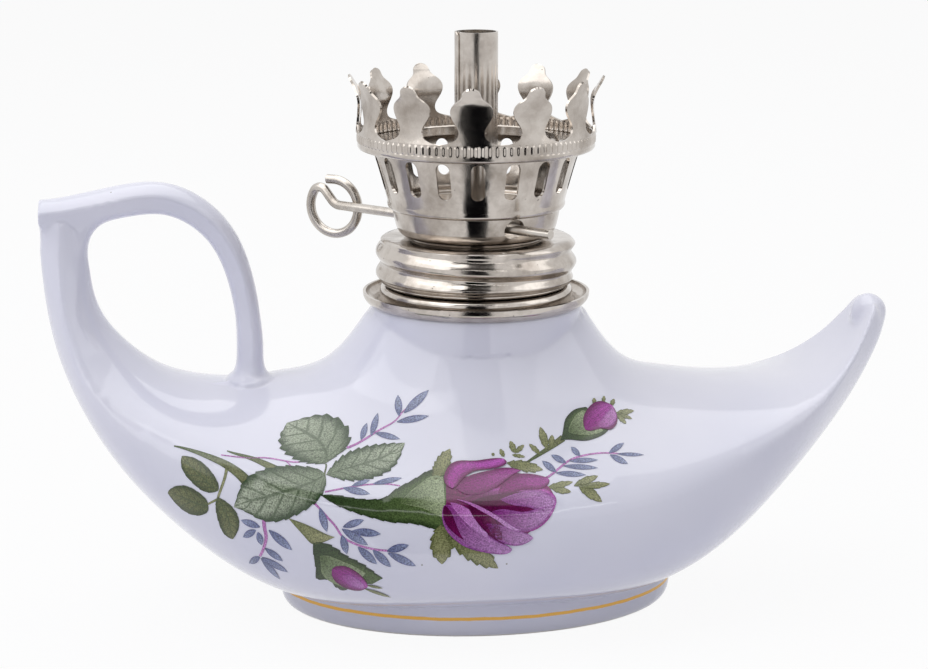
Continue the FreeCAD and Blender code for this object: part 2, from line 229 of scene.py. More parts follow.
def linear(code: str) -> tuple[float, float, float, float]:
    """Linear colour of an sRGB hex value such as "ECEDF4".

    Args:
        code: six hex digits.

    Returns:
        Red, green, blue and an alpha of 1.
    """
    shares = [int(code[index:index + 2], 16) / 255 for index in (0, 2, 4)]
    values = [share / 12.92 if share <= 0.04045 else ((share + 0.055) / 1.055) ** 2.4 for share in shares]
    return values[0], values[1], values[2], 1.0


def add_node(tree: bpy.types.NodeTree, kind: str, settings: dict[str, object] | None = None,
             inputs: dict[str | int, object] | None = None, stops: list[tuple[float, str]] | None = None,
             **values: object) -> bpy.types.Node:
    """Adds a node with its settings, socket values and links.

    Args:
        tree: the material's node tree.
        kind: the node's type, without the ShaderNode that starts it.
        settings: properties of the node itself.
        inputs: an output socket to link, or a value, by the name or index of the input that it feeds.
        stops: places and sRGB hex colours of a colour ramp.
        values: input values by name, with spaces written as underscores.

    Returns:
        The new node.
    """
    node = tree.nodes.new(f"ShaderNode{kind}")
    for key, value in (settings or {}).items():
        setattr(node, key, value)
    for key, value in {**{name.replace("_", " "): value for name, value in values.items()}, **(inputs or {})}.items():
        if isinstance(value, bpy.types.NodeSocket):
            tree.links.new(value, node.inputs[key])
        else:
            node.inputs[key].default_value = value
    for _ in (stops or [])[2:]:
        node.color_ramp.elements.new(0.5)
    for index, (place, code) in enumerate(stops or []):
        node.color_ramp.elements[index].position = place
        node.color_ramp.elements[index].color = linear(code)
    return node


def blank_material(name: str) -> tuple[bpy.types.Material, bpy.types.NodeTree, bpy.types.Node]:
    """Makes a node material that holds its shader and output.

    Args:
        name: the material's name.

    Returns:
        The material, its node tree and its shader node.
    """
    material = bpy.data.materials.new(name)
    material.use_nodes = True
    tree = material.node_tree
    return material, tree, next(node for node in tree.nodes if node.type == "BSDF_PRINCIPLED")


@dataclass(frozen=True)
class GlazedPorcelain:
    """White slip-cast porcelain under a clear glaze.

    The glaze is smooth and mirrors softly lit surfaces sharply, with a few iron specks. The standing rim is
    wiped bare and matte, and a hand-painted gilt line runs round the foot.
    """

    body: str = "E7E7F4"
    cool: str = "DEDFEF"
    tone_patch: float = 18.0
    speck: str = "8B847E"
    speck_spacing: float = 3.2
    speck_share: float = 0.16
    speck_size: float = 0.036
    speck_strength: float = 0.75
    roughness: float = 0.07
    bare: str = "E6E2DC"
    bare_height: float = 0.35
    bare_roughness: float = 0.6
    gilt: str = "C79A4E"
    gilt_roughness: float = 0.22
    gilt_metal: float = 0.85
    gilt_low: float = 2.5
    gilt_high: float = 2.9
    brush_stroke: float = 3.0
    brush_waver: float = 0.05
    glaze_ripple: float = 4.5
    ripple_depth: float = 0.1
    ior: float = 1.52

    def material(self) -> bpy.types.Material:
        """Builds the node material.

        Returns:
            The material.
        """
        material, tree, shader = blank_material("glazed_porcelain")
        place = add_node(tree, "TexCoord").outputs["Object"]
        height = add_node(tree, "SeparateXYZ", inputs={0: place}).outputs["Z"]
        # Fired porcelain is a little cooler in broad patches.
        tone = add_node(tree, "TexNoise", inputs={"Vector": place}, Scale=1 / (self.tone_patch * MM), Detail=2.0)
        body = add_node(tree, "ValToRGB", inputs={"Fac": tone.outputs["Fac"]},
                        stops=[(0.3, self.body), (0.7, self.cool)])
        # Few of the cells hold a speck, and it is small in its cell.
        cells = add_node(tree, "TexVoronoi", inputs={"Vector": place}, Scale=1 / (self.speck_spacing * MM))
        rare = add_node(tree, "SeparateColor", inputs={0: cells.outputs["Color"]}).outputs["Red"]
        few = add_node(tree, "Math", {"operation": "LESS_THAN"}, {0: rare, 1: self.speck_share})
        small = add_node(tree, "Math", {"operation": "LESS_THAN"}, {0: cells.outputs["Distance"], 1: self.speck_size})
        speck = add_node(tree, "Math", {"operation": "MULTIPLY"}, {0: few.outputs[0], 1: small.outputs[0]})
        faint = add_node(tree, "Math", {"operation": "MULTIPLY"}, {0: speck.outputs[0], 1: self.speck_strength})
        specked = add_node(tree, "Mix", MIX_COLOURS,
                           {"Factor": faint.outputs[0], COLOUR_A: body.outputs["Color"], COLOUR_B: linear(self.speck)})
        bare = add_node(tree, "MapRange", inputs={"Value": height}, From_Min=self.bare_height * MM,
                        From_Max=self.bare_height * MM * 1.5, To_Min=1.0, To_Max=0.0)
        glazed = add_node(tree, "Mix", MIX_COLOURS,
                          {"Factor": bare.outputs[0], COLOUR_A: specked.outputs[MIXED], COLOUR_B: linear(self.bare)})
        # The brush wavers, so both edges of the gilt line do.
        waver = add_node(tree, "TexNoise", inputs={"Vector": place}, Scale=1 / (self.brush_stroke * MM), Detail=3.0)
        shake = add_node(tree, "MapRange", inputs={"Value": waver.outputs["Fac"]}, From_Min=0.3, From_Max=0.7,
                         To_Min=-self.brush_waver * MM, To_Max=self.brush_waver * MM)
        line = add_node(tree, "Math", {"operation": "ADD"}, {0: height, 1: shake.outputs[0]})
        over = add_node(tree, "Math", {"operation": "GREATER_THAN"}, {0: line.outputs[0], 1: self.gilt_low * MM})
        under = add_node(tree, "Math", {"operation": "LESS_THAN"}, {0: line.outputs[0], 1: self.gilt_high * MM})
        gilt = add_node(tree, "Math", {"operation": "MULTIPLY"}, {0: over.outputs[0], 1: under.outputs[0]})
        colour = add_node(tree, "Mix", MIX_COLOURS,
                          {"Factor": gilt.outputs[0], COLOUR_A: glazed.outputs[MIXED], COLOUR_B: linear(self.gilt)})
        gloss = add_node(tree, "MapRange", inputs={"Value": bare.outputs[0]},
                         To_Min=self.roughness, To_Max=self.bare_roughness)
        satin = add_node(tree, "Math", {"operation": "MULTIPLY_ADD"},
                         {0: gilt.outputs[0], 1: self.gilt_roughness, 2: gloss.outputs[0]})
        metal = add_node(tree, "Math", {"operation": "MULTIPLY"}, {0: gilt.outputs[0], 1: self.gilt_metal})
        ripple = add_node(tree, "TexNoise", inputs={"Vector": place}, Scale=1 / (self.glaze_ripple * MM), Detail=2.0)
        bump = add_node(tree, "Bump", inputs={"Height": ripple.outputs["Fac"]}, Strength=0.05,
                        Distance=self.ripple_depth * MM)
        tree.links.new(colour.outputs[MIXED], shader.inputs["Base Color"])
        tree.links.new(satin.outputs[0], shader.inputs["Roughness"])
        tree.links.new(metal.outputs[0], shader.inputs["Metallic"])
        tree.links.new(bump.outputs[0], shader.inputs["Normal"])
        shader.inputs["IOR"].default_value = self.ior
        return material


@dataclass(frozen=True)
class NickelPlate:
    """Nickel plating over pressed brass sheet: bright and slightly warm, with shallow dents that bend what it
    mirrors, fine pits and dull patches.
    """

    name: str = "nickel_plate"
    bright: str = "C6BFB8"
    worn: str = "8B8177"
    pit: str = "4A4038"
    gloss: float = 0.09
    dull: float = 0.27
    patch: float = 5.0
    pit_spacing: float = 0.55
    pit_share: float = 0.06
    pit_size: float = 0.13
    dent: float = 2.6
    dent_depth: float = 0.12
    grain: float = 0.35
    grain_depth: float = 0.03

    def material(self) -> bpy.types.Material:
        """Builds the node material.

        Returns:
            The material.
        """
        material, tree, shader = blank_material(self.name)
        place = add_node(tree, "TexCoord").outputs["Object"]
        patch = add_node(tree, "TexNoise", inputs={"Vector": place}, Scale=1 / (self.patch * MM), Detail=5.0,
                         Roughness=0.6)
        tint = add_node(tree, "ValToRGB", inputs={"Fac": patch.outputs["Fac"]},
                        stops=[(0.42, self.bright), (0.78, self.worn)])
        rough = add_node(tree, "MapRange", inputs={"Value": patch.outputs["Fac"]},
                         From_Min=0.35, From_Max=0.75, To_Min=self.gloss, To_Max=self.dull)
        pits = add_node(tree, "TexVoronoi", inputs={"Vector": place}, Scale=1 / (self.pit_spacing * MM))
        rare = add_node(tree, "SeparateColor", inputs={0: pits.outputs["Color"]}).outputs["Green"]
        few = add_node(tree, "Math", {"operation": "LESS_THAN"}, {0: rare, 1: self.pit_share})
        small = add_node(tree, "Math", {"operation": "LESS_THAN"}, {0: pits.outputs["Distance"], 1: self.pit_size})
        pit = add_node(tree, "Math", {"operation": "MULTIPLY"}, {0: few.outputs[0], 1: small.outputs[0]})
        colour = add_node(tree, "Mix", MIX_COLOURS,
                          {"Factor": pit.outputs[0], COLOUR_A: tint.outputs["Color"], COLOUR_B: linear(self.pit)})
        dents = add_node(tree, "TexNoise", inputs={"Vector": place}, Scale=1 / (self.dent * MM), Detail=1.0)
        dented = add_node(tree, "Bump", inputs={"Height": dents.outputs["Fac"]}, Strength=0.6,
                          Distance=self.dent_depth * MM)
        # The sheet's real grain is finer. It is drawn as coarse as it needs to show.
        grain = add_node(tree, "TexNoise", inputs={"Vector": place}, Scale=1 / (self.grain * MM), Detail=3.0)
        bump = add_node(tree, "Bump", inputs={"Height": grain.outputs["Fac"], "Normal": dented.outputs[0]},
                        Strength=0.12, Distance=self.grain_depth * MM)
        tree.links.new(colour.outputs[MIXED], shader.inputs["Base Color"])
        tree.links.new(rough.outputs[0], shader.inputs["Roughness"])
        tree.links.new(bump.outputs[0], shader.inputs["Normal"])
        shader.inputs["Metallic"].default_value = 1.0
        return material


@dataclass(frozen=True)
class Matte:
    """Matte finish in two tones, whose fine grain also stands in relief."""

    name: str
    light: str
    dark: str
    dark_end: float
    light_start: float
    grain: float
    detail: float
    relief: float
    relief_depth: float
    roughness: float

    def material(self) -> bpy.types.Material:
        """Builds the node material.

        Returns:
            The material.
        """
        material, tree, shader = blank_material(self.name)
        place = add_node(tree, "TexCoord").outputs["Object"]
        grain = add_node(tree, "TexNoise", inputs={"Vector": place}, Scale=1 / (self.grain * MM), Detail=self.detail)
        colour = add_node(tree, "ValToRGB", inputs={"Fac": grain.outputs["Fac"]},
                          stops=[(self.dark_end, self.dark), (self.light_start, self.light)])
        bump = add_node(tree, "Bump", inputs={"Height": grain.outputs["Fac"]},
                        Strength=self.relief, Distance=self.relief_depth * MM)
        tree.links.new(colour.outputs["Color"], shader.inputs["Base Color"])
        tree.links.new(bump.outputs[0], shader.inputs["Normal"])
        shader.inputs["Roughness"].default_value = self.roughness
        return material


@dataclass(frozen=True)
class CottonBraid(Matte):
    """Undyed cotton braid: matte, off-white, with shaded gaps between strands of about half a millimetre."""

    name: str = "cotton_braid"
    light: str = "E9E2D2"
    dark: str = "B8AE99"
    dark_end: float = 0.3
    light_start: float = 0.65
    grain: float = 0.45
    detail: float = 4.0
    relief: float = 0.5
    relief_depth: float = 0.08
    roughness: float = 0.9


@dataclass(frozen=True)
class SetPlaster(Matte):
    """Plaster that has set round the spigot: chalky, off-white, slightly pitted."""

    name: str = "set_plaster"
    light: str = "D8D3C8"
    dark: str = "B5AFA3"
    dark_end: float = 0.35
    light_start: float = 0.6
    grain: float = 0.8
    detail: float = 6.0
    relief: float = 0.4
    relief_depth: float = 0.1
    roughness: float = 0.85


class Slot(Enum):
    """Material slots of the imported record."""

    PORCELAIN = "porcelain"
    PLASTER = "plaster"
    NICKEL = "nickel_plate"
    WIRE = "steel_wire"
    COTTON = "cotton"


class Body(Enum):
    """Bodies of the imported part."""

    FONT = "font"
    BURNER = "burner"
    WINDER = "winder"
    WICK = "wick"


@dataclass
class Workshop:
    """The finishes, made once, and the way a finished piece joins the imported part."""

    finishes: dict[Slot, bpy.types.Material] = field(default_factory=dict)

    def open(self) -> None:
        """Makes every finish."""
        self.finishes = {
            Slot.PORCELAIN: GlazedPorcelain().material(),
            Slot.PLASTER: SetPlaster().material(),
            Slot.NICKEL: NickelPlate().material(),
            Slot.WIRE: NickelPlate(name="nickel_wire", bright="C2BCB5", gloss=0.2, dull=0.4, pit_share=0.1).material(),
            Slot.COTTON: CottonBraid().material(),
        }

    def deliver(self, piece: bpy.types.Object, slot: Slot, body: Body, *nodes: str) -> None:
        """Gives a piece its finish and its body, and lets it stand for CAD nodes.

        Args:
            piece: the finished piece.
            slot: its material slot.
            body: the body it rides on.
            nodes: the CAD nodes that it replaces.
        """
        if not piece.data.materials:
            piece.data.materials.append(self.finishes[slot])
        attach(piece, body.value)
        if nodes:
            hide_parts(*nodes)
        log.info("%s: %d faces on %s", piece.name, len(piece.data.polygons), body.value)

    def keep(self, node: bpy.types.Object, slot: Slot) -> None:
        """Gives a CAD node that stays its finish."""
        node.data.materials.clear()
        node.data.materials.append(self.finishes[slot])


@dataclass
class Curve:
    """Smooth curve through points that are evenly spread over its length from 0 to 1."""

    points: list[Vector]
    slopes: list[Vector] = field(default_factory=list)

    def __post_init__(self) -> None:
        """Finds the slope at every point, so that the curve bends without a break."""
        points, last = self.points, len(self.points) - 1
        first_slope = (-11 * points[0] + 18 * points[1] - 9 * points[2] + 2 * points[3]) / 6
        last_slope = (11 * points[last] - 18 * points[last - 1] + 9 * points[last - 2] - 2 * points[last - 3]) / 6
        shares, sums = [0.0], [first_slope]
        for index in range(1, last):
            pivot = 4 - shares[-1]
            shares.append(1 / pivot)
            sums.append((3 * (points[index + 1] - points[index - 1]) - sums[-1]) / pivot)
        slopes = [last_slope]
        for index in range(last - 1, 0, -1):
            slopes.append(sums[index] - slopes[-1] * shares[index])
        self.slopes = [first_slope] + slopes[::-1]

    def at(self, share: float) -> Vector:
        """Point at a share of the curve's length.

        Args:
            share: 0 at the first point and 1 at the last.

        Returns:
            The point.
        """
        place = share * (len(self.points) - 1)
        index = min(int(place), len(self.points) - 2)
        u = place - index
        return ((1 + 2 * u) * (1 - u) ** 2 * self.points[index] + u * (1 - u) ** 2 * self.slopes[index]
                + u * u * (3 - 2 * u) * self.points[index + 1] - u * u * (1 - u) * self.slopes[index + 1])


@dataclass
class Hull:
    """Outside of the font, lofted from four lines that are shares of its reach, beam and height."""

    half_length: float = 53.5
    half_beam: float = 25.0
    tail_height: float = 51.5
    flare_rise: float = 16.0
    flare_radius: float = 13.3
    flare_power: float = 5.2
    flare_reach: float = 32.0
    neck_floor: float = 37.41
    stations: int = 29
    rows: int = 230
    ridge_round: float = 1.7
    tip_share: float = 0.93
    half_ring: int = 72
    ridge_steps: int = 30
    tail_dome: tuple[float, float, float] = (0.0, 0.0, 0.68)
    tip_dome: tuple[float, float, float] = (0.4, 0.0, 0.9)
    dome: Shares = ((0.97, 0.24), (0.85, 0.53), (0.6, 0.8), (0.3, 0.95), (0.02, 1.0))
    keel: Shares = (
        (-1.000, 0.0, 0.955), (-0.998, 0.0, 0.880), (-0.992, 0.0, 0.790), (-0.974, 0.0, 0.672),
        (-0.928, 0.0, 0.535), (-0.835, 0.0, 0.372), (-0.700, 0.0, 0.222), (-0.540, 0.0, 0.102),
        (-0.330, 0.0, 0.040), (0.000, 0.0, 0.030), (0.330, 0.0, 0.045), (0.530, 0.0, 0.120),
        (0.680, 0.0, 0.235), (0.800, 0.0, 0.362), (0.898, 0.0, 0.490), (0.962, 0.0, 0.612),
        (0.982, 0.0, 0.690), (0.966, 0.0, 0.750))
    bilge: Shares = (
        (-0.968, 0.092, 0.955), (-0.971, 0.100, 0.880), (-0.970, 0.135, 0.785), (-0.948, 0.200, 0.672),
        (-0.895, 0.320, 0.535), (-0.790, 0.455, 0.392), (-0.650, 0.590, 0.265), (-0.490, 0.700, 0.165),
        (-0.290, 0.780, 0.115), (0.000, 0.805, 0.103), (0.290, 0.760, 0.120), (0.490, 0.650, 0.182),
        (0.635, 0.510, 0.280), (0.762, 0.370, 0.398), (0.865, 0.250, 0.520), (0.936, 0.160, 0.632),
        (0.964, 0.105, 0.697), (0.957, 0.050, 0.750))
    ridge: Shares = (
        (-0.940, 0.100, 0.955), (-0.947, 0.125, 0.880), (-0.950, 0.185, 0.795), (-0.925, 0.270, 0.680),
        (-0.850, 0.395, 0.575), (-0.715, 0.565, 0.500), (-0.560, 0.740, 0.440), (-0.374, 0.888, 0.396),
        (-0.180, 0.975, 0.376), (0.020, 1.000, 0.370), (0.243, 0.950, 0.376), (0.467, 0.820, 0.415),
        (0.663, 0.628, 0.480), (0.785, 0.472, 0.540), (0.872, 0.320, 0.620), (0.922, 0.200, 0.700),
        (0.938, 0.125, 0.733), (0.946, 0.050, 0.750))
    deck: Shares = (
        (-0.895, 0.0, 0.955), (-0.889, 0.0, 0.880), (-0.882, 0.0, 0.795), (-0.852, 0.0, 0.716),
        (-0.790, 0.0, 0.645), (-0.700, 0.0, 0.585), (-0.560, 0.0, 0.560), (-0.380, 0.0, 0.566),
        (-0.180, 0.0, 0.570), (0.020, 0.0, 0.573), (0.243, 0.0, 0.568), (0.467, 0.0, 0.550),
        (0.663, 0.0, 0.540), (0.785, 0.0, 0.556), (0.868, 0.0, 0.612), (0.912, 0.0, 0.675),
        (0.930, 0.0, 0.720), (0.941, 0.0, 0.750))

    def line(self, shares: Shares) -> Curve:
        """Curve of one hull line in millimetres."""
        return Curve([Vector((x * self.half_length, y * self.half_beam, z * self.tail_height)) for x, y, z in shares])

    def flare(self, x: float, y: float) -> float:
        """Rise of the neck's flare above the deck.

        Args:
            x: place along the lamp.
            y: place across the lamp.

        Returns:
            The rise in millimetres.
        """
        here = math.hypot(x, y) / self.flare_radius
        limit = self.flare_reach / self.flare_radius
        rise = self.flare_rise / (1 + here ** self.flare_power) - self.flare_rise / (1 + limit ** self.flare_power)
        return max(0.0, rise)

    def section(self, keel: Vector, bilge: Vector, ridge: Vector, deck: Vector) -> list[Vector]:
        """Points round one section: the bottom from ridge to ridge, then the deck back.

        Args:
            keel: lowest point, in the middle plane.
            bilge: point of the bottom, on the far side.
            ridge: point of the ridge, on the far side.
            deck: crown of the deck, in the middle plane.

        Returns:
            The closed section's points, with both ridge points kept as corners.
        """
        flip = Vector((1, -1, 1))
        bottom = Curve([ridge * flip, bilge * flip, keel, bilge, ridge])
        crown = []
        # Nine places across the deck, from ridge to ridge.
        for index in range(9):
            side = 1 - index / 4
            place = deck + (Vector((ridge.x, 0, ridge.z)) - deck) * side ** 2
            place.y = ridge.y * side
            place.z += self.flare(place.x, place.y) * (1 - side ** 2)
            crown.append(place)
        top = Curve(crown)
        shares = [step / self.half_ring for step in range(self.half_ring)]
        return [bottom.at(share) for share in shares] + [top.at(share) for share in shares]

    def soften(self, ring: list[Vector]) -> list[Vector]:
        """Rounds the two ridge corners of a section.

        Args:
            ring: the section's points, whose corners are the first and the middle one.

        Returns:
            The section with round ridges.
        """
        count = len(ring)
        soft = list(ring)
        for corner in (0, count // 2):
            beside = ring[(corner + self.half_ring // 4) % count]
            reach = min(self.ridge_round, 0.3 * (ring[corner] - beside).length)
            ends = []
            for way in (-1, 1):
                step = 1
                while (ring[(corner + way * step) % count] - ring[corner]).length < reach and step < self.ridge_steps:
                    step += 1
                ends.append(step)
            before, after = ends
            start, stop = ring[(corner - before) % count], ring[(corner + after) % count]
            for offset in range(-before, after + 1):
                u = (offset + before) / (before + after)
                soft[(corner + offset) % count] = (1 - u) ** 2 * start + 2 * u * (1 - u) * ring[corner] + u * u * stop
        return soft

    def build(self) -> bpy.types.Object:
        """Lofts the closed outside, flat under the neck.

        Returns:
            The hull.
        """
        lines = [self.line(shares) for shares in (self.keel, self.bilge, self.ridge, self.deck)]
        sections = [self.section(*[line.at(step / (self.stations - 1)) for line in lines])
                    for step in range(self.stations)]
        columns = [Curve([section[column] for section in sections]) for column in range(len(sections[0]))]
        rows = [self.soften([column.at(row / self.rows) for column in columns]) for row in range(self.rows + 1)]
        for row in rows:
            for point in row:
                if point.xy.length < self.flare_radius * 2:
                    point.z = min(point.z, self.neck_floor)
        rows = rows[:int(self.rows * self.tip_share)]
        for end, way in ((0, Vector(self.tail_dome)), (-1, Vector(self.tip_dome))):
            ring = rows[end]
            middle = sum(ring, Vector()) / len(ring)
            caps = [[middle + (point - middle) * share + way * rise for point in ring] for share, rise in self.dome]
            rows = caps[::-1] + rows if end == 0 else rows + caps
        return from_grid("hull", rows, True)


@dataclass
class Strap:
    """Ring handle, from the tail's peak over to the deck, where it is luted on."""

    half_length: float = Hull.half_length
    tail_height: float = Hull.tail_height
    width: float = 5.0
    depth: float = 3.4
    fullness: float = 1.04
    foot_power: float = 2.2
    end_caps: tuple[float, ...] = (0.8, 0.5, 0.02)
    line: Shares = (
        (-0.998, 0.974), (-0.925, 0.980), (-0.845, 0.996), (-0.748, 1.010), (-0.664, 0.988),
        (-0.592, 0.922), (-0.550, 0.825), (-0.531, 0.720), (-0.527, 0.625), (-0.530, 0.545))
    girths: tuple[float, ...] = (1.06, 1.12, 1.14, 1.12, 1.06, 0.98, 0.91, 0.88, 0.98, 1.60)
    section: Shares = (
        (0.0, 0.50), (0.22, 0.45), (0.42, 0.27), (0.51, 0.10), (0.45, -0.02), (0.415, -0.20), (0.36, -0.38),
        (0.22, -0.48), (0.0, -0.50))
    rows: int = 150

    def build(self) -> bpy.types.Object:
        """Sweeps the strap as a closed piece.

        Returns:
            The strap.
        """
        middle = Curve([Vector((x * self.half_length, 0, z * self.tail_height)) for x, z in self.line])
        outline = list(self.section) + [(-y, z) for y, z in self.section[-2:0:-1]]
        for _ in range(2):
            pairs = list(zip(outline, outline[1:] + outline[:1]))
            outline = [point for (ay, az), (by, bz) in pairs
                       for point in ((0.78 * ay + 0.22 * by, 0.78 * az + 0.22 * bz),
                                     (0.22 * ay + 0.78 * by, 0.22 * az + 0.78 * bz))]
        rows = []
        for row in range(self.rows + 1):
            share = row / self.rows
            place, ahead = middle.at(share), middle.at(min(1.0, share + 0.001)) - middle.at(max(0.0, share - 0.001))
            ahead.normalize()
            out = Vector((-ahead.z, 0, ahead.x))
            slot = share * (len(self.girths) - 1)
            low = min(int(slot), len(self.girths) - 2)
            # The last span spreads late, just over the deck.
            power = self.foot_power if low == len(self.girths) - 2 else 1
            girth = self.girths[low] + (self.girths[low + 1] - self.girths[low]) * (slot - low) ** power
            girth *= self.fullness
            rows.append([place + Vector((0, y * self.width * girth, 0)) + out * z * self.depth * girth
                         for y, z in outline])
        for end in (0, -1):
            ring = rows[end]
            centre = sum(ring, Vector()) / len(ring)
            caps = [[centre + (point - centre) * share for point in ring] for share in self.end_caps]
            rows = caps[::-1] + rows if end == 0 else rows + caps
        return from_grid("strap", rows, True)


@dataclass
class Fillet:
    """Hollow curve of slip in the upper corner of the ring."""

    middle: tuple[float, float] = (-43.9, 45.7)
    radius: float = 3.7
    half_width: float = 2.1
    backing: float = 1.0

    def build(self) -> bpy.types.Object:
        """Lays the curve's outlines side by side across the handle.

        Returns:
            The fillet.
        """
        x, z = self.middle
        far = self.radius + self.backing
        rows = []
        for side in (-1.0, -0.8, -0.4, 0.0, 0.4, 0.8, 1.0):
            reach = self.radius + 0.9 * self.backing * side ** 4
            turns = [math.radians(3.75 * step) for step in range(25)]
            arc = [Vector((x - reach * math.cos(turn), 0, z + reach * math.sin(turn))) for turn in turns]
            back = [Vector((x, 0, z + far)), Vector((x - far, 0, z + far)), Vector((x - far, 0, z))]
            rows.append([point + Vector((0, side * self.half_width, 0)) for point in arc + back])
        return from_grid("fillet", rows, True)


@dataclass
class Foot:
    """Oval foot with a rounded standing rim round a shallow recess."""

    half_length: float = 24.9
    half_width: float = 18.0
    steps: int = 240
    profile: Shares = (
        (17.95, 1.2), (10.0, 1.2), (3.9, 1.2), (3.3, 1.05), (3.0, 0.6), (2.75, 0.15), (2.4, 0.0), (1.6, 0.0),
        (1.1, 0.1), (0.6, 0.42), (0.25, 0.95), (0.05, 1.7), (0.0, 2.6), (0.0, 4.0), (0.1, 4.9), (0.5, 5.6),
        (1.2, 6.4), (6.0, 6.6), (17.95, 6.6))

    def build(self) -> bpy.types.Object:
        """Lays oval rings one over the other.

        Returns:
            The foot.
        """
        rows = []
        for inset, height in rounded(list(self.profile), 1):
            along_x, along_y = self.half_length - inset, self.half_width - inset
            turns = [TURN * step / self.steps for step in range(self.steps)]
            rows.append([Vector((along_x * math.cos(turn), along_y * math.sin(turn), height)) for turn in turns])
        return from_grid("foot", rows, True)


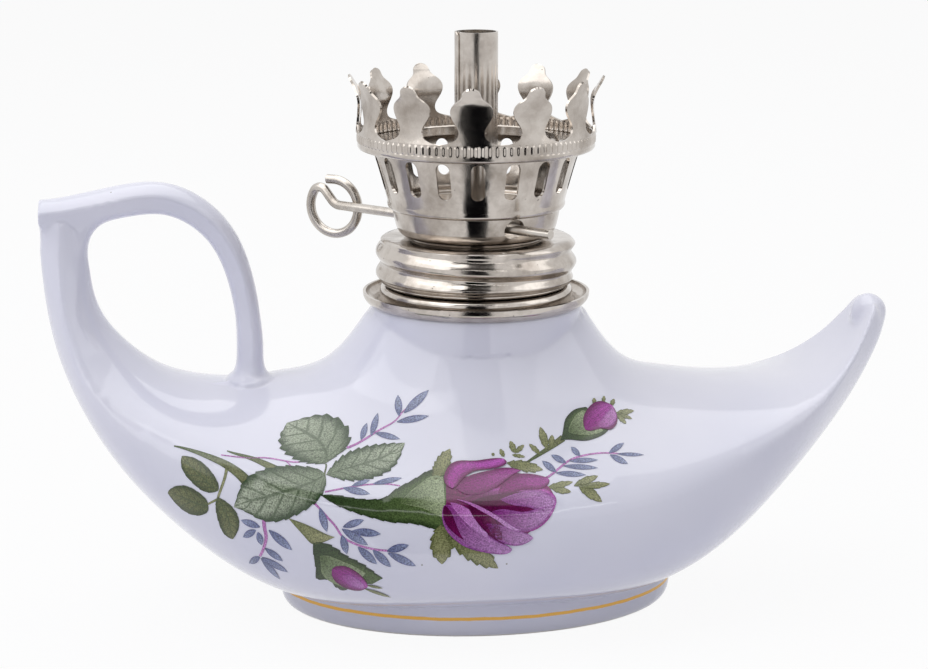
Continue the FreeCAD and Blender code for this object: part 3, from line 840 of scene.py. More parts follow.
@dataclass
class PorcelainFont:
    """The font with its ring handle: one fired piece whose edges and joints the glaze has softened."""

    spigot_top: float = 43.41
    spigot_radius: float = 10.0
    neck_radius: float = 13.1
    neck_root: float = 34.0
    neck_edge: float = 36.5
    neck_top: float = 38.41
    grain: float = 0.3
    smoothing: int = 5
    joint_smoothing: int = 70
    joints: Shares = (
        (-46.2, 0.0, 47.2, 5.0), (-53.6, 0.0, 48.3, 2.4), (-28.2, 0.0, 30.9, 3.0), (50.4, 0.0, 36.0, 4.2))
    lumps: tuple[Shares, ...] = (
        ((-28.3, 0.0, 28.9), (3.0, 4.1, 1.3)), ((-31.2, -1.6, 28.7), (2.7, 0.5, 0.5)),
        ((50.4, 0.0, 35.7), (2.4, 2.7, 2.4)))
    triangles: int = 160000

    def hollow(self, node: bpy.types.Object) -> bpy.types.Object:
        """Takes the closed hollow with its bore out of the CAD font.

        Args:
            node: the CAD font.

        Returns:
            The hollow as a solid.
        """
        font = bpy.data.objects.new("font_copy", node.data.copy())
        bpy.context.scene.collection.objects.link(font)
        font.data.transform(node.matrix_world)
        font.data.materials.clear()
        clean_up(font, 40)
        limit, reach = (self.spigot_top - 0.01) * MM, self.spigot_radius * 1.1 * MM
        bpy.ops.object.mode_set(mode="EDIT")
        bpy.ops.mesh.select_mode(type="FACE")
        bpy.ops.mesh.select_all(action="DESELECT")
        bpy.ops.object.mode_set(mode="OBJECT")
        for face in font.data.polygons:
            corners = [font.data.vertices[index].co for index in face.vertices]
            face.select = all(corner.z > limit and corner.xy.length < reach for corner in corners)
        bpy.ops.object.mode_set(mode="EDIT")
        bpy.ops.mesh.delete(type="FACE")
        bpy.ops.mesh.select_mode(type="VERT")
        bpy.ops.mesh.separate(type="LOOSE")
        bpy.ops.object.mode_set(mode="OBJECT")
        inner, *outer = sorted(bpy.context.selected_objects, key=lambda shell: shell.dimensions.x)
        for shell in outer:
            bpy.data.objects.remove(shell)
        for vertex in inner.data.vertices:
            if vertex.co.z > limit:
                vertex.co.z += MM
        self.close_ends(inner)
        return inner

    def neck(self) -> bpy.types.Object:
        """Turns the solid neck ring and spigot.

        Returns:
            The neck.
        """
        outline = [
            (0.02, self.neck_root), (self.neck_radius - 0.3, self.neck_root), (self.neck_radius, self.neck_edge),
            (self.neck_radius, self.neck_top - 0.5), (self.neck_radius - 0.5, self.neck_top),
            (self.spigot_radius + 0.3, self.neck_top), (self.spigot_radius, self.neck_top + 0.4),
            (self.spigot_radius, self.spigot_top - 0.4), (self.spigot_radius - 0.4, self.spigot_top),
            (0.02, self.spigot_top),
        ]
        turns = [TURN * step / 180 for step in range(180)]
        rows = [[Vector((radius * math.cos(turn), radius * math.sin(turn), height)) for turn in turns]
                for radius, height in outline]
        return from_grid("neck", rows, True)

    def slip(self) -> list[bpy.types.Object]:
        """Lumps of slip: round the handle's foot, trailing from it, and as the spout's round tip.

        Returns:
            The lumps.
        """
        lumps = []
        for place, radii in self.lumps:
            bpy.ops.object.select_all(action="DESELECT")
            bpy.ops.mesh.primitive_uv_sphere_add(segments=64, ring_count=32, radius=MM)
            lump = bpy.context.active_object
            lump.data.transform(Matrix.Translation(Vector(place) * MM) @ Matrix.Diagonal((*radii, 1.0)))
            lumps.append(lump)
        return lumps

    def close_ends(self, piece: bpy.types.Object) -> None:
        """Fills the open ends of a piece and points its faces outwards.

        Args:
            piece: the piece to close.
        """
        activate(piece)
        bpy.ops.object.mode_set(mode="EDIT")
        bpy.ops.mesh.select_all(action="SELECT")
        bpy.ops.mesh.fill_holes(sides=0)
        bpy.ops.mesh.normals_make_consistent(inside=False)
        bpy.ops.object.mode_set(mode="OBJECT")

    def soften_joints(self, body: bpy.types.Object) -> None:
        """Fills the corners where the handle meets the hull, as the glaze does.

        Args:
            body: the remeshed font.
        """
        group = body.vertex_groups.new(name="joints")
        for vertex in body.data.vertices:
            place = vertex.co / MM
            weight = max(1 - (place - Vector(joint[:3])).length / joint[3] for joint in self.joints)
            if weight > 0:
                group.add([vertex.index], min(1.0, 2 * weight), "REPLACE")
        modify(body, "SMOOTH", factor=0.5, iterations=self.joint_smoothing, vertex_group="joints")

    def build(self, shop: Workshop, nodes: dict[str, bpy.types.Object]) -> bpy.types.Object:
        """Fuses the font and the handle and rounds their edges.

        Args:
            shop: the workshop with the finishes.
            nodes: the CAD nodes by name.

        Returns:
            The porcelain piece.
        """
        pieces = [Hull().build(), Strap().build(), Fillet().build(), Foot().build(), self.neck(), *self.slip()]
        for piece in pieces:
            self.close_ends(piece)
        body = joined("porcelain", pieces)
        body.data.remesh_voxel_size = self.grain * MM
        activate(body)
        bpy.ops.object.voxel_remesh()
        modify(body, "SMOOTH", factor=0.5, iterations=self.smoothing)
        self.soften_joints(body)
        modify(body, "TRIANGULATE")
        modify(body, "DECIMATE", ratio=min(1.0, self.triangles / len(body.data.polygons)))
        hollow = self.hollow(nodes["porcelain_font"])
        modify(body, "BOOLEAN", operation="DIFFERENCE", object=hollow, solver="EXACT")
        bpy.data.objects.remove(hollow)
        activate(body)
        bpy.ops.object.shade_smooth_by_angle(angle=math.radians(70))
        shop.deliver(body, Slot.PORCELAIN, Body.FONT, "porcelain_font", "handle_strap")
        return body


@dataclass
class NeckCollar:
    """Pressed collar: thread tube, shoulder and a dish flange with an upturned lip."""

    floor: float = 38.41
    top: float = 45.91
    tube_radius: float = 11.1
    shoulder_radius: float = 12.0
    shoulder_top: float = 40.41
    rim_radius: float = 13.75
    sheet: float = 0.35

    def build(self, shop: Workshop) -> None:
        """Turns the collar.

        Args:
            shop: the workshop with the finishes.
        """
        outline = [
            (self.rim_radius, self.floor + 1.25), (self.rim_radius, self.floor + 0.75),
            (self.rim_radius - 0.5, self.floor + 0.12), (self.rim_radius - 1.3, self.floor),
            (self.shoulder_radius + 0.25, self.floor + 0.25), (self.shoulder_radius, self.floor + 0.6),
            (self.shoulder_radius, self.shoulder_top - 0.4), (self.shoulder_radius - 0.45, self.shoulder_top),
            (self.tube_radius + 0.1, self.shoulder_top + 0.1), (self.tube_radius, self.shoulder_top + 0.5),
            (self.tube_radius, self.top),
        ]
        collar = turned("screw_collar", rounded(outline, 2), 160)
        modify(collar, "SOLIDIFY", thickness=self.sheet * MM, offset=-1.0)
        clean_up(collar, 40)
        shop.deliver(collar, Slot.NICKEL, Body.FONT, "neck_collar")


@dataclass
class ScrewCap:
    """Cap whose wall is rolled into a two-turn helical thread under a flat disc."""

    top: float = 46.36
    depth: float = 5.4
    wall_radius: float = 11.85
    crest: float = 0.62
    pitch: float = 2.65
    first_crest: float = 1.7
    hole_radius: float = 3.06
    seat_radius: float = 8.2
    sheet: float = 0.4

    def radius_at(self, angle: float, drop: float) -> float:
        """Radius of the rolled wall.

        Args:
            angle: place round the axis.
            drop: depth below the disc.

        Returns:
            The wall's outer radius there.
        """
        turn = (drop - self.first_crest) / self.pitch - angle / TURN + 0.5
        wave = 0.5 + 0.5 * math.cos(TURN * turn)
        fade = smoothstep(0.0, 0.9, drop) * smoothstep(0.0, 0.8, self.depth - drop)
        return self.wall_radius + self.crest * wave ** 0.8 * fade

    def build(self, shop: Workshop) -> None:
        """Turns the cap and rolls its thread.

        Args:
            shop: the workshop with the finishes.
        """
        rows = 48
        outline = [
            (self.hole_radius, self.top), (self.seat_radius - 1.2, self.top), (self.seat_radius - 1.0, self.top + 0.45),
            (self.seat_radius - 0.2, self.top + 0.45), (self.seat_radius, self.top), (self.wall_radius - 1.0, self.top),
            (self.wall_radius - 0.25, self.top - 0.03),
        ]
        outline += [(self.wall_radius, self.top - 0.2 - (self.depth - 0.2) * row / rows) for row in range(rows + 1)]
        cap = turned("screw_cap_rolled", outline, 192)
        for vertex in cap.data.vertices:
            place = vertex.co / MM
            radius = math.hypot(place.x, place.y)
            drop = self.top - place.z
            if abs(radius - self.wall_radius) < 0.02 and drop > 0.1:
                factor = self.radius_at(math.atan2(place.y, place.x), drop) / radius
                vertex.co.x *= factor
                vertex.co.y *= factor
        modify(cap, "SOLIDIFY", thickness=self.sheet * MM, offset=-1.0)
        clean_up(cap, 40)
        shop.deliver(cap, Slot.NICKEL, Body.BURNER, "screw_cap")


@dataclass
class AirBasket:
    """Pressed cup with a row of air slots, a lower band, a step and two winder holes."""

    floor: float = 46.86
    profile: Shares = (
        (7.0, 0.0), (8.3, 0.05), (9.1, 0.35), (9.5, 0.95), (9.75, 2.0), (9.98, 3.2), (10.02, 3.5), (10.5, 3.58),
        (10.62, 3.85), (10.55, 4.2), (10.75, 5.0), (11.4, 7.4), (12.1, 9.8), (12.5, 11.0))
    sheet: float = 0.4
    slot_count: int = 18
    slot_turn: float = 3.9
    slot_width: float = 1.75
    slot_low: float = 5.7
    slot_high: float = 10.2
    slot_reach: float = 11.5
    slot_depth: float = 8.0
    winder_hole: float = 1.2
    hole_reach: float = 9.5
    hole_depth: float = 9.0

    def slot_cutter(self, index: int) -> bpy.types.Object:
        """Round-ended block that cuts one slot.

        Args:
            index: the slot's number.

        Returns:
            The cutter.
        """
        radius = self.slot_width / 2
        low = self.floor + self.slot_low + radius
        high = self.floor + self.slot_high - radius
        bpy.ops.object.select_all(action="DESELECT")
        bpy.ops.mesh.primitive_cylinder_add(vertices=32, radius=radius * MM, depth=self.slot_depth * MM,
                                            location=(self.slot_reach * MM, 0, low * MM),
                                            rotation=(0, math.pi / 2, 0))
        cutter = bpy.context.active_object
        bpy.ops.object.transform_apply(location=True, rotation=True, scale=True)
        for vertex in cutter.data.vertices:
            if vertex.co.z > low * MM:
                vertex.co.z += (high - low) * MM
        cutter.data.transform(Matrix.Rotation(math.radians(self.slot_turn) + TURN * index / self.slot_count, 4, "Z"))
        return cutter

    def build(self, shop: Workshop, winder: "Winder") -> None:
        """Turns the cup and cuts its slots and holes.

        Args:
            shop: the workshop with the finishes.
            winder: the winder, whose axis the holes follow.
        """
        outline = [(radius, self.floor + rise) for radius, rise in self.profile]
        cup = turned("air_basket", rounded(outline, 2), 180)
        modify(cup, "SOLIDIFY", thickness=self.sheet * MM, offset=-1.0)
        cutters = [self.slot_cutter(index) for index in range(self.slot_count)]
        foot, way = winder.foot(), winder.way()
        for side in (-1, 1):
            bpy.ops.object.select_all(action="DESELECT")
            bpy.ops.mesh.primitive_cylinder_add(vertices=48, radius=self.winder_hole * MM, depth=self.hole_depth * MM)
            hole = bpy.context.active_object
            turn = Vector((0, 0, 1)).rotation_difference(way).to_matrix().to_4x4()
            hole.data.transform(Matrix.Translation((foot + way * self.hole_reach * side) * MM) @ turn)
            cutters.append(hole)
        tool = joined("cutters", cutters)
        modify(cup, "BOOLEAN", operation="DIFFERENCE", object=tool, solver="EXACT")
        bpy.data.objects.remove(tool)
        clean_up(cup, 35)
        shop.deliver(cup, Slot.NICKEL, Body.BURNER, "burner_basket")


@dataclass
class ChimneyShelf:
    """Flat ring with a raised inner rim and a soft outer edge."""

    low: float = 57.86
    top: float = 58.31
    inner: float = 9.6
    outer: float = 13.85

    def build(self, shop: Workshop) -> None:
        """Turns the ring.

        Args:
            shop: the workshop with the finishes.
        """
        outline = [(self.inner, self.low), (self.inner, self.top + 0.6), (self.inner + 0.15, self.top + 0.7),
                   (self.inner + 0.4, self.top + 0.45), (self.inner + 0.6, self.top + 0.05),
                   (self.inner + 1.0, self.top), (self.outer - 0.4, self.top), (self.outer, self.top - 0.1),
                   (self.outer, self.low + 0.02), (self.outer - 0.1, self.low), (self.inner, self.low)]
        shelf = turned("chimney_ring", outline, 160)
        clean_up(shelf, 40)
        shop.deliver(shelf, Slot.NICKEL, Body.BURNER, "chimney_shelf")


@dataclass
class Crown:
    """Fluted band with twelve spring prongs, cut and bent from one sheet."""

    radius: float = 14.6
    lip: float = 57.41
    band_top: float = 59.55
    prongs: int = 12
    columns: int = 72
    prong_columns: int = 36
    flutes: int = 9
    flute_depth: float = 0.16
    band: Shares = ((-2.0, 0.0), (-1.2, 0.0), (-0.45, 0.02), (-0.12, 0.16), (0.02, 0.38), (0.04, 0.62), (-0.02, 0.8))
    flute_rises: tuple[float, ...] = (0.9, 1.0, 1.12, 1.25, 1.4, 1.55, 1.68, 1.8, 1.9, 2.0, 2.14)
    inset: float = 0.05
    sheet: float = 0.28
    prong_height: float = 6.9
    prong_turn: float = -9.5
    lean_in: float = 0.35
    lean_spread: float = 0.3
    curl: float = 0.065
    curl_spread: float = 0.03
    curl_start: float = 3.4
    skew: float = 0.12
    cup: float = 0.05
    edge_passes: int = 6
    tip_heights: tuple[float, ...] = (6.6, 6.68, 6.75, 6.8, 6.85, 6.88)
    half_widths: Outline = field(default_factory=lambda: [
        (0.0, 3.82), (0.1, 3.05), (0.25, 2.5), (0.45, 2.08), (0.75, 1.75), (1.1, 1.56), (1.5, 1.5), (1.9, 1.6),
        (2.3, 1.84), (2.7, 2.12), (3.15, 2.4), (3.6, 2.57), (4.05, 2.62), (4.5, 2.5), (4.85, 2.24), (5.15, 1.88),
        (5.4, 1.48), (5.6, 1.2), (5.8, 1.07), (6.1, 1.08), (6.4, 0.98), (6.6, 0.82), (6.75, 0.6), (6.85, 0.34),
        (6.9, 0.08)])

    def point(self, angle: float, height: float, offset: float) -> Vector:
        """Point of the crown's sheet.

        Args:
            angle: place round the axis.
            height: height above the origin.
            offset: how far it stands out of the band.

        Returns:
            The point in millimetres.
        """
        radius = self.radius + offset
        return Vector((radius * math.cos(angle), radius * math.sin(angle), height))

    def build(self, shop: Workshop) -> None:
        """Lays out the band's and the prongs' grids and gives them thickness.

        Args:
            shop: the workshop with the finishes.
        """
        total = self.prongs * self.columns
        rows = []
        for offset, rise in self.band:
            rows.append([self.point(TURN * k / total, self.lip + rise, offset) for k in range(total)])
        for rise in self.flute_rises:
            row = []
            depth = self.flute_depth * smoothstep(0.8, 1.05, rise) * (1 - smoothstep(1.75, 2.1, rise))
            for k in range(total):
                wave = 0.5 + 0.5 * math.cos(TURN * self.flutes * k / self.columns)
                row.append(self.point(TURN * k / total, self.lip + rise, depth * (wave ** 1.5) - self.inset))
            rows.append(row)
        band = from_grid("crown_band", rows, True)
        pieces = [band]
        heights = [step * 0.125 for step in range(53)] + [*self.tip_heights, self.prong_height]
        halves = [along(self.half_widths, rise) for rise in heights]
        for _ in range(self.edge_passes):
            inner = [(low + 2 * here + high) / 4 for low, here, high in zip(halves, halves[1:], halves[2:])]
            halves = [halves[0]] + inner + [halves[-1]]
        # The prongs were bent by hand, so no two are quite the same.
        for prong in range(self.prongs):
            middle = TURN * prong / self.prongs + math.radians(self.prong_turn)
            curl = self.curl + self.curl_spread * math.sin(2.1 * prong + 0.6)
            inward = self.lean_in * (1 + self.lean_spread * math.sin(5.0 * prong))
            skew = self.skew * math.sin(3.7 * prong + 1.0)
            sheet = []
            for rise, half in zip(heights, halves):
                lean = curl * max(0.0, rise - self.curl_start) ** 2
                lean -= inward * math.sin(math.pi * min(1.0, rise / 6.2))
                row = []
                for column in range(self.prong_columns + 1):
                    side = 2 * column / self.prong_columns - 1
                    across = side * half + skew * rise / self.prong_height
                    cup = -self.cup * (1 - side * side) * smoothstep(1.0, 3.0, rise)
                    angle = middle + across / self.radius
                    row.append(self.point(angle, self.band_top + rise, lean + cup - self.inset))
                sheet.append(row)
            pieces.append(from_grid(f"prong_{prong}", sheet, False))
        crown = joined("pronged_crown", pieces)
        clean_up(crown, 40)
        modify(crown, "SOLIDIFY", thickness=self.sheet * MM, offset=-1.0)
        clean_up(crown, 40)
        shop.deliver(crown, Slot.NICKEL, Body.BURNER, "crown_gallery")


@dataclass
class WickTube:
    """Tube rolled from sheet, with a lapped seam that shows a small step at its mouth."""

    radius: float = 2.7
    sheet: float = 0.3
    bottom: float = 40.86
    top: float = 71.71
    seam_angle: float = -178.0
    lap: float = 26.0
    notch: float = 0.45
    eyelet: Shares = (
        (2.75, 45.62), (3.5, 45.6), (3.68, 45.72), (3.6, 45.9), (3.03, 45.91), (3.03, 46.36), (3.6, 46.37),
        (3.68, 46.52), (3.5, 46.66), (2.9, 46.64), (2.74, 46.5), (2.74, 45.7), (2.75, 45.62))

    def build(self, shop: Workshop) -> None:
        """Rolls the sheet, and turns the eyelet that holds it.

        Args:
            shop: the workshop with the finishes.
        """
        steps, rows = 100, 60
        sheet = []
        for row in range(rows + 1):
            share = row / rows
            line = []
            for step in range(steps + 1):
                angle = math.radians(self.seam_angle + (360 + self.lap) * step / steps)
                lap = smoothstep(self.lap * 0.8, self.lap * 1.4, (360 + self.lap) * step / steps)
                radius = self.radius - self.sheet * 0.5 + self.sheet * 0.9 * (lap - 1.0)
                notch = self.notch * smoothstep(steps - 6, steps, step) if row == rows else 0.0
                height = self.bottom + (self.top - self.bottom) * share - notch
                line.append(Vector((radius * math.cos(angle), radius * math.sin(angle), height)))
            sheet.append(line)
        tube = from_grid("rolled_wick_tube", sheet, False)
        modify(tube, "SOLIDIFY", thickness=self.sheet * 0.75 * MM, offset=0.0)
        clean_up(tube, 40)
        tube.data.materials.append(NickelPlate(name="rolled_nickel", gloss=0.2, dull=0.32).material())
        shop.deliver(tube, Slot.NICKEL, Body.BURNER, "wick_tube")
        eyelet = turned("tube_eyelet", list(self.eyelet), 72)
        clean_up(eyelet, 40)
        shop.deliver(eyelet, Slot.NICKEL, Body.BURNER, "tube_ferrule")


@dataclass
class Winder:
    """Bent wire with an open finger loop, and the toothed wheel that it carries."""

    wire_radius: float = 0.6
    height: float = 48.76
    offset: float = 4.0
    angle: float = -46.7
    stub: float = 14.8
    shank: float = 19.2
    rise_radius: float = 2.0
    rise_turn: float = 45.0
    rise_run: float = 1.5
    crook_radius: float = 1.3
    crook_turn: float = -105.0
    loop_radius: float = 3.5
    loop_turn: float = -300.0
    loop_swing: float = 12.0
    loop_tail: float = 1.0

    def way(self) -> Vector:
        """Unit vector along the winder from its loop to its stub."""
        turn = math.radians(self.angle)
        return Vector((math.cos(turn), math.sin(turn), 0.0))

    def foot(self) -> Vector:
        """Point of the winder's axis that is nearest to the wick tube."""
        way = self.way()
        return Vector((way.y, -way.x, 0.0)) * self.offset + Vector((0.0, 0.0, self.height))

    def point(self, outward: float, up: float, hinge: float, swing: float) -> Vector:
        """Point of the winder's upright plane, swung sideways about an upright line at the hinge.

        Args:
            outward: distance along the shank from the foot.
            up: rise above the shank.
            hinge: where the plane is swung.
            swing: how far, in degrees.

        Returns:
            The point in millimetres.
        """
        way = self.way()
        aside = Vector((-way.y, way.x, 0.0))
        back = hinge - outward
        turn = math.radians(swing)
        out, off = hinge - back * math.cos(turn), back * math.sin(turn)
        return self.foot() - way * out + aside * off + Vector((0, 0, up))

    def route(self) -> list[Vector]:
        """Points along the wire's middle, from the stub to the loop's free end.

        Returns:
            The points in millimetres.
        """
        start = self.foot() + self.way() * self.stub
        points = [start, start - self.way() * 0.5, self.foot(), self.point(self.shank - 0.5, 0, 0, 0)]
        outward, up, heading = self.shank, 0.0, 0.0
        points.append(self.point(outward, up, 0, 0))
        bends = [(0.0, self.rise_radius, self.rise_turn, 0.0), (self.rise_run, self.crook_radius, self.crook_turn, 0.0),
                 (0.0, self.loop_radius, self.loop_turn, self.loop_swing)]
        for run, radius, turn, swing in bends:
            outward, up = outward + run * math.cos(heading), up + run * math.sin(heading)
            if run > 0:
                points.append(self.point(outward, up, 0, 0))
            hinge = outward
            steps = max(4, int(abs(turn) / 6))
            half = math.radians(turn) / steps / 2
            for _ in range(steps):
                outward += 2 * radius * math.sin(abs(half)) * math.cos(heading + half)
                up += 2 * radius * math.sin(abs(half)) * math.sin(heading + half)
                heading += 2 * half
                points.append(self.point(outward, up, hinge, swing))
        outward, up = outward + self.loop_tail * math.cos(heading), up + self.loop_tail * math.sin(heading)
        points.append(self.point(outward, up, hinge, self.loop_swing))
        return points

    def build(self, shop: Workshop, nodes: dict[str, bpy.types.Object]) -> None:
        """Bends the wire and dresses the wheel.

        Args:
            shop: the workshop with the finishes.
            nodes: the CAD nodes by name.
        """
        curve = bpy.data.curves.new("winder_line", "CURVE")
        curve.dimensions = "3D"
        points = self.route()
        line = curve.splines.new("POLY")
        line.points.add(len(points) - 1)
        for knot, point in zip(line.points, points):
            knot.co = (*(point * MM), 1.0)
        curve.bevel_depth = self.wire_radius * MM
        curve.bevel_resolution = 6
        curve.use_fill_caps = True
        wire = bpy.data.objects.new("winder_loop_wire", curve)
        bpy.context.scene.collection.objects.link(wire)
        activate(wire)
        bpy.ops.object.convert(target="MESH")
        wire = bpy.context.active_object
        wire.name = "winder_loop_wire"
        clean_up(wire, 50)
        modify(wire, "BEVEL", width=0.12 * MM, segments=3, limit_method="ANGLE", angle_limit=math.radians(60))
        clean_up(wire, 50)
        shop.deliver(wire, Slot.WIRE, Body.WINDER, "winder_wire")
        shop.keep(nodes["feed_wheel"], Slot.WIRE)


@dataclass
class Wick:
    """Round braided wick with a trimmed, slightly frayed end."""

    radius: float = 1.9
    bottom: float = 7.2
    top: float = 69.7
    strands: int = 8
    pitch: float = 9.0
    relief: float = 0.12
    fray: float = 0.15

    def build(self, shop: Workshop) -> None:
        """Braids the wick.

        Args:
            shop: the workshop with the finishes.
        """
        rows = []
        count, around = 260, 48
        for row in range(count + 1):
            height = self.bottom + (self.top - self.bottom) * row / count
            line = []
            for step in range(around):
                angle = TURN * step / around
                twist = TURN * height / self.pitch
                over = abs(math.sin(self.strands / 2 * angle + twist))
                under = abs(math.sin(self.strands / 2 * angle - twist))
                radius = self.radius - self.relief + self.relief * max(over, under)
                line.append(Vector((radius * math.cos(angle), radius * math.sin(angle), height)))
            rows.append(line)
        base = [[Vector((p.x * share, p.y * share, self.bottom)) for p in row]
                for share, row in zip((0.02, 0.35, 0.7), rows[2::-1])]
        frayed = [Vector((p.x * 0.7, p.y * 0.7, self.top + self.fray * math.sin(9 * step)))
                  for step, p in enumerate(rows[-1])]
        middle = [[Vector((p.x * share, p.y * share, self.top + 0.1)) for p in rows[-1]] for share in (0.35, 0.01)]
        wick = from_grid("braided_wick", base + rows + [frayed] + middle, True)
        clean_up(wick, 60)
        shop.deliver(wick, Slot.COTTON, Body.WICK, "wick")


@dataclass
class Studio:
    """Camera, plain soft light and a pale sweep."""

    azimuth: float = -7.0
    elevation: float = 12.3
    distance: float = 300.0
    target: tuple[float, float, float] = (-1.54, -0.25, 33.99)
    focal_pixels: float = 2400.0
    frame_pixels: float = 928.0
    frame_lines: float = 669.0
    floor_glow: float = 0.93
    surround: float = 0.32

    def back(self) -> Vector:
        """Unit vector from the object to the camera."""
        turn, rise = math.radians(self.azimuth), math.radians(self.elevation)
        return Vector((math.sin(turn) * math.cos(rise), -math.cos(turn) * math.cos(rise), math.sin(rise)))

    def eye(self) -> Vector:
        """Place of the camera in millimetres."""
        return Vector(self.target) + self.back() * self.distance

    def sight(self, place: tuple[float, float]) -> Vector:
        """Unit vector from the camera through a place in its view.

        Args:
            place: how far right and down from the view's corner, in pixels of the 928 x 669 view.

        Returns:
            The direction.
        """
        back = self.back()
        right = Vector((0, 0, 1)).cross(back).normalized()
        up = back.cross(right)
        across, down = place[0] - self.frame_pixels / 2, place[1] - self.frame_lines / 2
        return (right * across - up * down - back * self.focal_pixels).normalized()

    def set_camera(self) -> None:
        """Makes the camera at the photograph's viewing angle."""
        data = bpy.data.cameras.new("camera")
        data.sensor_width = 36.0
        data.lens = self.focal_pixels * data.sensor_width / self.frame_pixels
        data.clip_start, data.clip_end = 0.01, 20.0
        camera = bpy.data.objects.new("camera", data)
        bpy.context.scene.collection.objects.link(camera)
        camera.location = self.eye() * MM
        camera.rotation_euler = (-self.back()).to_track_quat("-Z", "Y").to_euler()
        bpy.context.scene.camera = camera

    def softbox(self, name: str, place: tuple[float, float, float], size: tuple[float, float], power: float) -> None:
        """Hangs an area lamp that faces the lamp's middle.

        Args:
            name: the light's name.
            place: its place in millimetres.
            size: its width and height in millimetres.
            power: its power in watts.
        """
        data = bpy.data.lights.new(name, "AREA")
        data.shape = "RECTANGLE"
        data.size, data.size_y = size[0] * MM, size[1] * MM
        data.energy = power
        light = bpy.data.objects.new(name, data)
        bpy.context.scene.collection.objects.link(light)
        light.location = Vector(place) * MM
        light.rotation_euler = (Vector((0, 0, 30)) - Vector(place)).to_track_quat("-Z", "Y").to_euler()

    def card(self, name: str, corners: list[tuple[float, float, float]], code: str) -> None:
        """Sets a card that only reflections see, as a painted dark reflection of a studio's dark side.

        Args:
            name: the card's name.
            corners: its near and its far pair of corners in millimetres.
            code: its colour.
        """
        points = [Vector(corner) for corner in corners]
        card = from_grid(name, [points[:2], points[2:]], False)
        material, _, shader = blank_material(name)
        shader.inputs["Base Color"].default_value = linear(code)
        shader.inputs["Roughness"].default_value = 1.0
        shader.inputs["Specular IOR Level"].default_value = 0.0
        card.data.materials.append(material)
        # Hidden from the camera, from diffuse light and from shadows: it shows only as a painted dark reflection.
        card.visible_camera = False
        card.visible_diffuse = False
        card.visible_shadow = False

    def looked_at(self, tree: bpy.types.NodeTree) -> bpy.types.NodeSocket:
        """Makes a value of 1 where the camera, a reflection or a clear material looks, and of 0 for plain light.

        Args:
            tree: the node tree of the floor or the world.

        Returns:
            The value's socket.
        """
        path = add_node(tree, "LightPath").outputs
        mirrored = add_node(tree, "Math", {"operation": "MAXIMUM"},
                            {0: path["Is Glossy Ray"], 1: path["Is Transmission Ray"]})
        return add_node(tree, "Math", {"operation": "MAXIMUM"},
                        {0: path["Is Camera Ray"], 1: mirrored.outputs[0]}).outputs[0]

    def sweep(self) -> None:
        """Lays the pale floor, which the camera and glossy surfaces see as white."""
        bpy.ops.object.select_all(action="DESELECT")
        bpy.ops.mesh.primitive_plane_add(size=8.0, location=(0, 0, 0))
        floor = bpy.context.active_object
        floor.name = "floor"
        material, tree, shader = blank_material("white_floor")
        shader.inputs["Base Color"].default_value = linear("E4E4EA")
        shader.inputs["Roughness"].default_value = 0.9
        seen = self.looked_at(tree)
        share = add_node(tree, "Math", {"operation": "MULTIPLY"}, {0: seen, 1: self.floor_glow})
        glow = add_node(tree, "Emission", Strength=1.0)
        glow.inputs["Color"].default_value = (1.0, 1.0, 1.0, 1.0)
        mix = add_node(tree, "MixShader", inputs={0: share.outputs[0], 1: shader.outputs[0], 2: glow.outputs[0]})
        output = next(node for node in tree.nodes if node.type == "OUTPUT_MATERIAL")
        tree.links.new(mix.outputs[0], output.inputs["Surface"])
        floor.data.materials.append(material)

    def set_world(self) -> None:
        """Gives an even pale surround that the camera sees as white."""
        world = bpy.data.worlds.new("studio")
        bpy.context.scene.world = world
        world.use_nodes = True
        tree = world.node_tree
        background = next(node for node in tree.nodes if node.type == "BACKGROUND")
        level = add_node(tree, "MapRange", inputs={"Value": self.looked_at(tree)}, To_Min=self.surround, To_Max=1.0)
        background.inputs["Color"].default_value = (1.0, 1.0, 1.0, 1.0)
        tree.links.new(level.outputs[0], background.inputs["Strength"])

    def build(self) -> None:
        """Sets the whole studio."""
        bpy.context.scene.view_settings.view_transform = "Standard"
        self.set_camera()
        self.sweep()
        self.set_world()
        self.softbox("softbox_left", (-420, -160, 420), (620, 560), 1.15)
        self.softbox("softbox_top", (-60, 60, 560), (820, 560), 1.8)
        self.softbox("softbox_right", (430, -120, 300), (300, 400), 0.3)
        self.softbox("strip_light", (0, -420, 330), (520, 26), 0.12)
        # Painted dark reflections: cards that only glossy rays see, in front of the lamp, above it and on the floor
        # before it.
        self.card("dark_reflection_front", [(-180, -500, 0), (60, -530, 0), (-180, -500, 330), (60, -530, 330)], "0C0C0E")
        self.card("dark_reflection_above", [(-330, -520, 335), (170, -540, 335), (-330, -380, 720), (170, -400, 720)], "3A3734")
        self.card("dark_reflection_floor", [(-22, -55, 0.3), (8, -58, 0.3), (-180, -500, 0.3), (60, -530, 0.3)], "101012")


class Shape(Enum):
    """Kinds of printed shape, by what is drawn in them: veins, streaks or nothing."""

    LEAF = "leaf"
    PETAL = "petal"
    PLAIN = "plain"


@dataclass(frozen=True)
class Ink:
    """Colours of one printed shape: at its foot, towards its tip and along its edges."""

    foot: str
    tip: str
    edge: str
    edge_start: float = 0.6
    shape: Shape = Shape.PLAIN


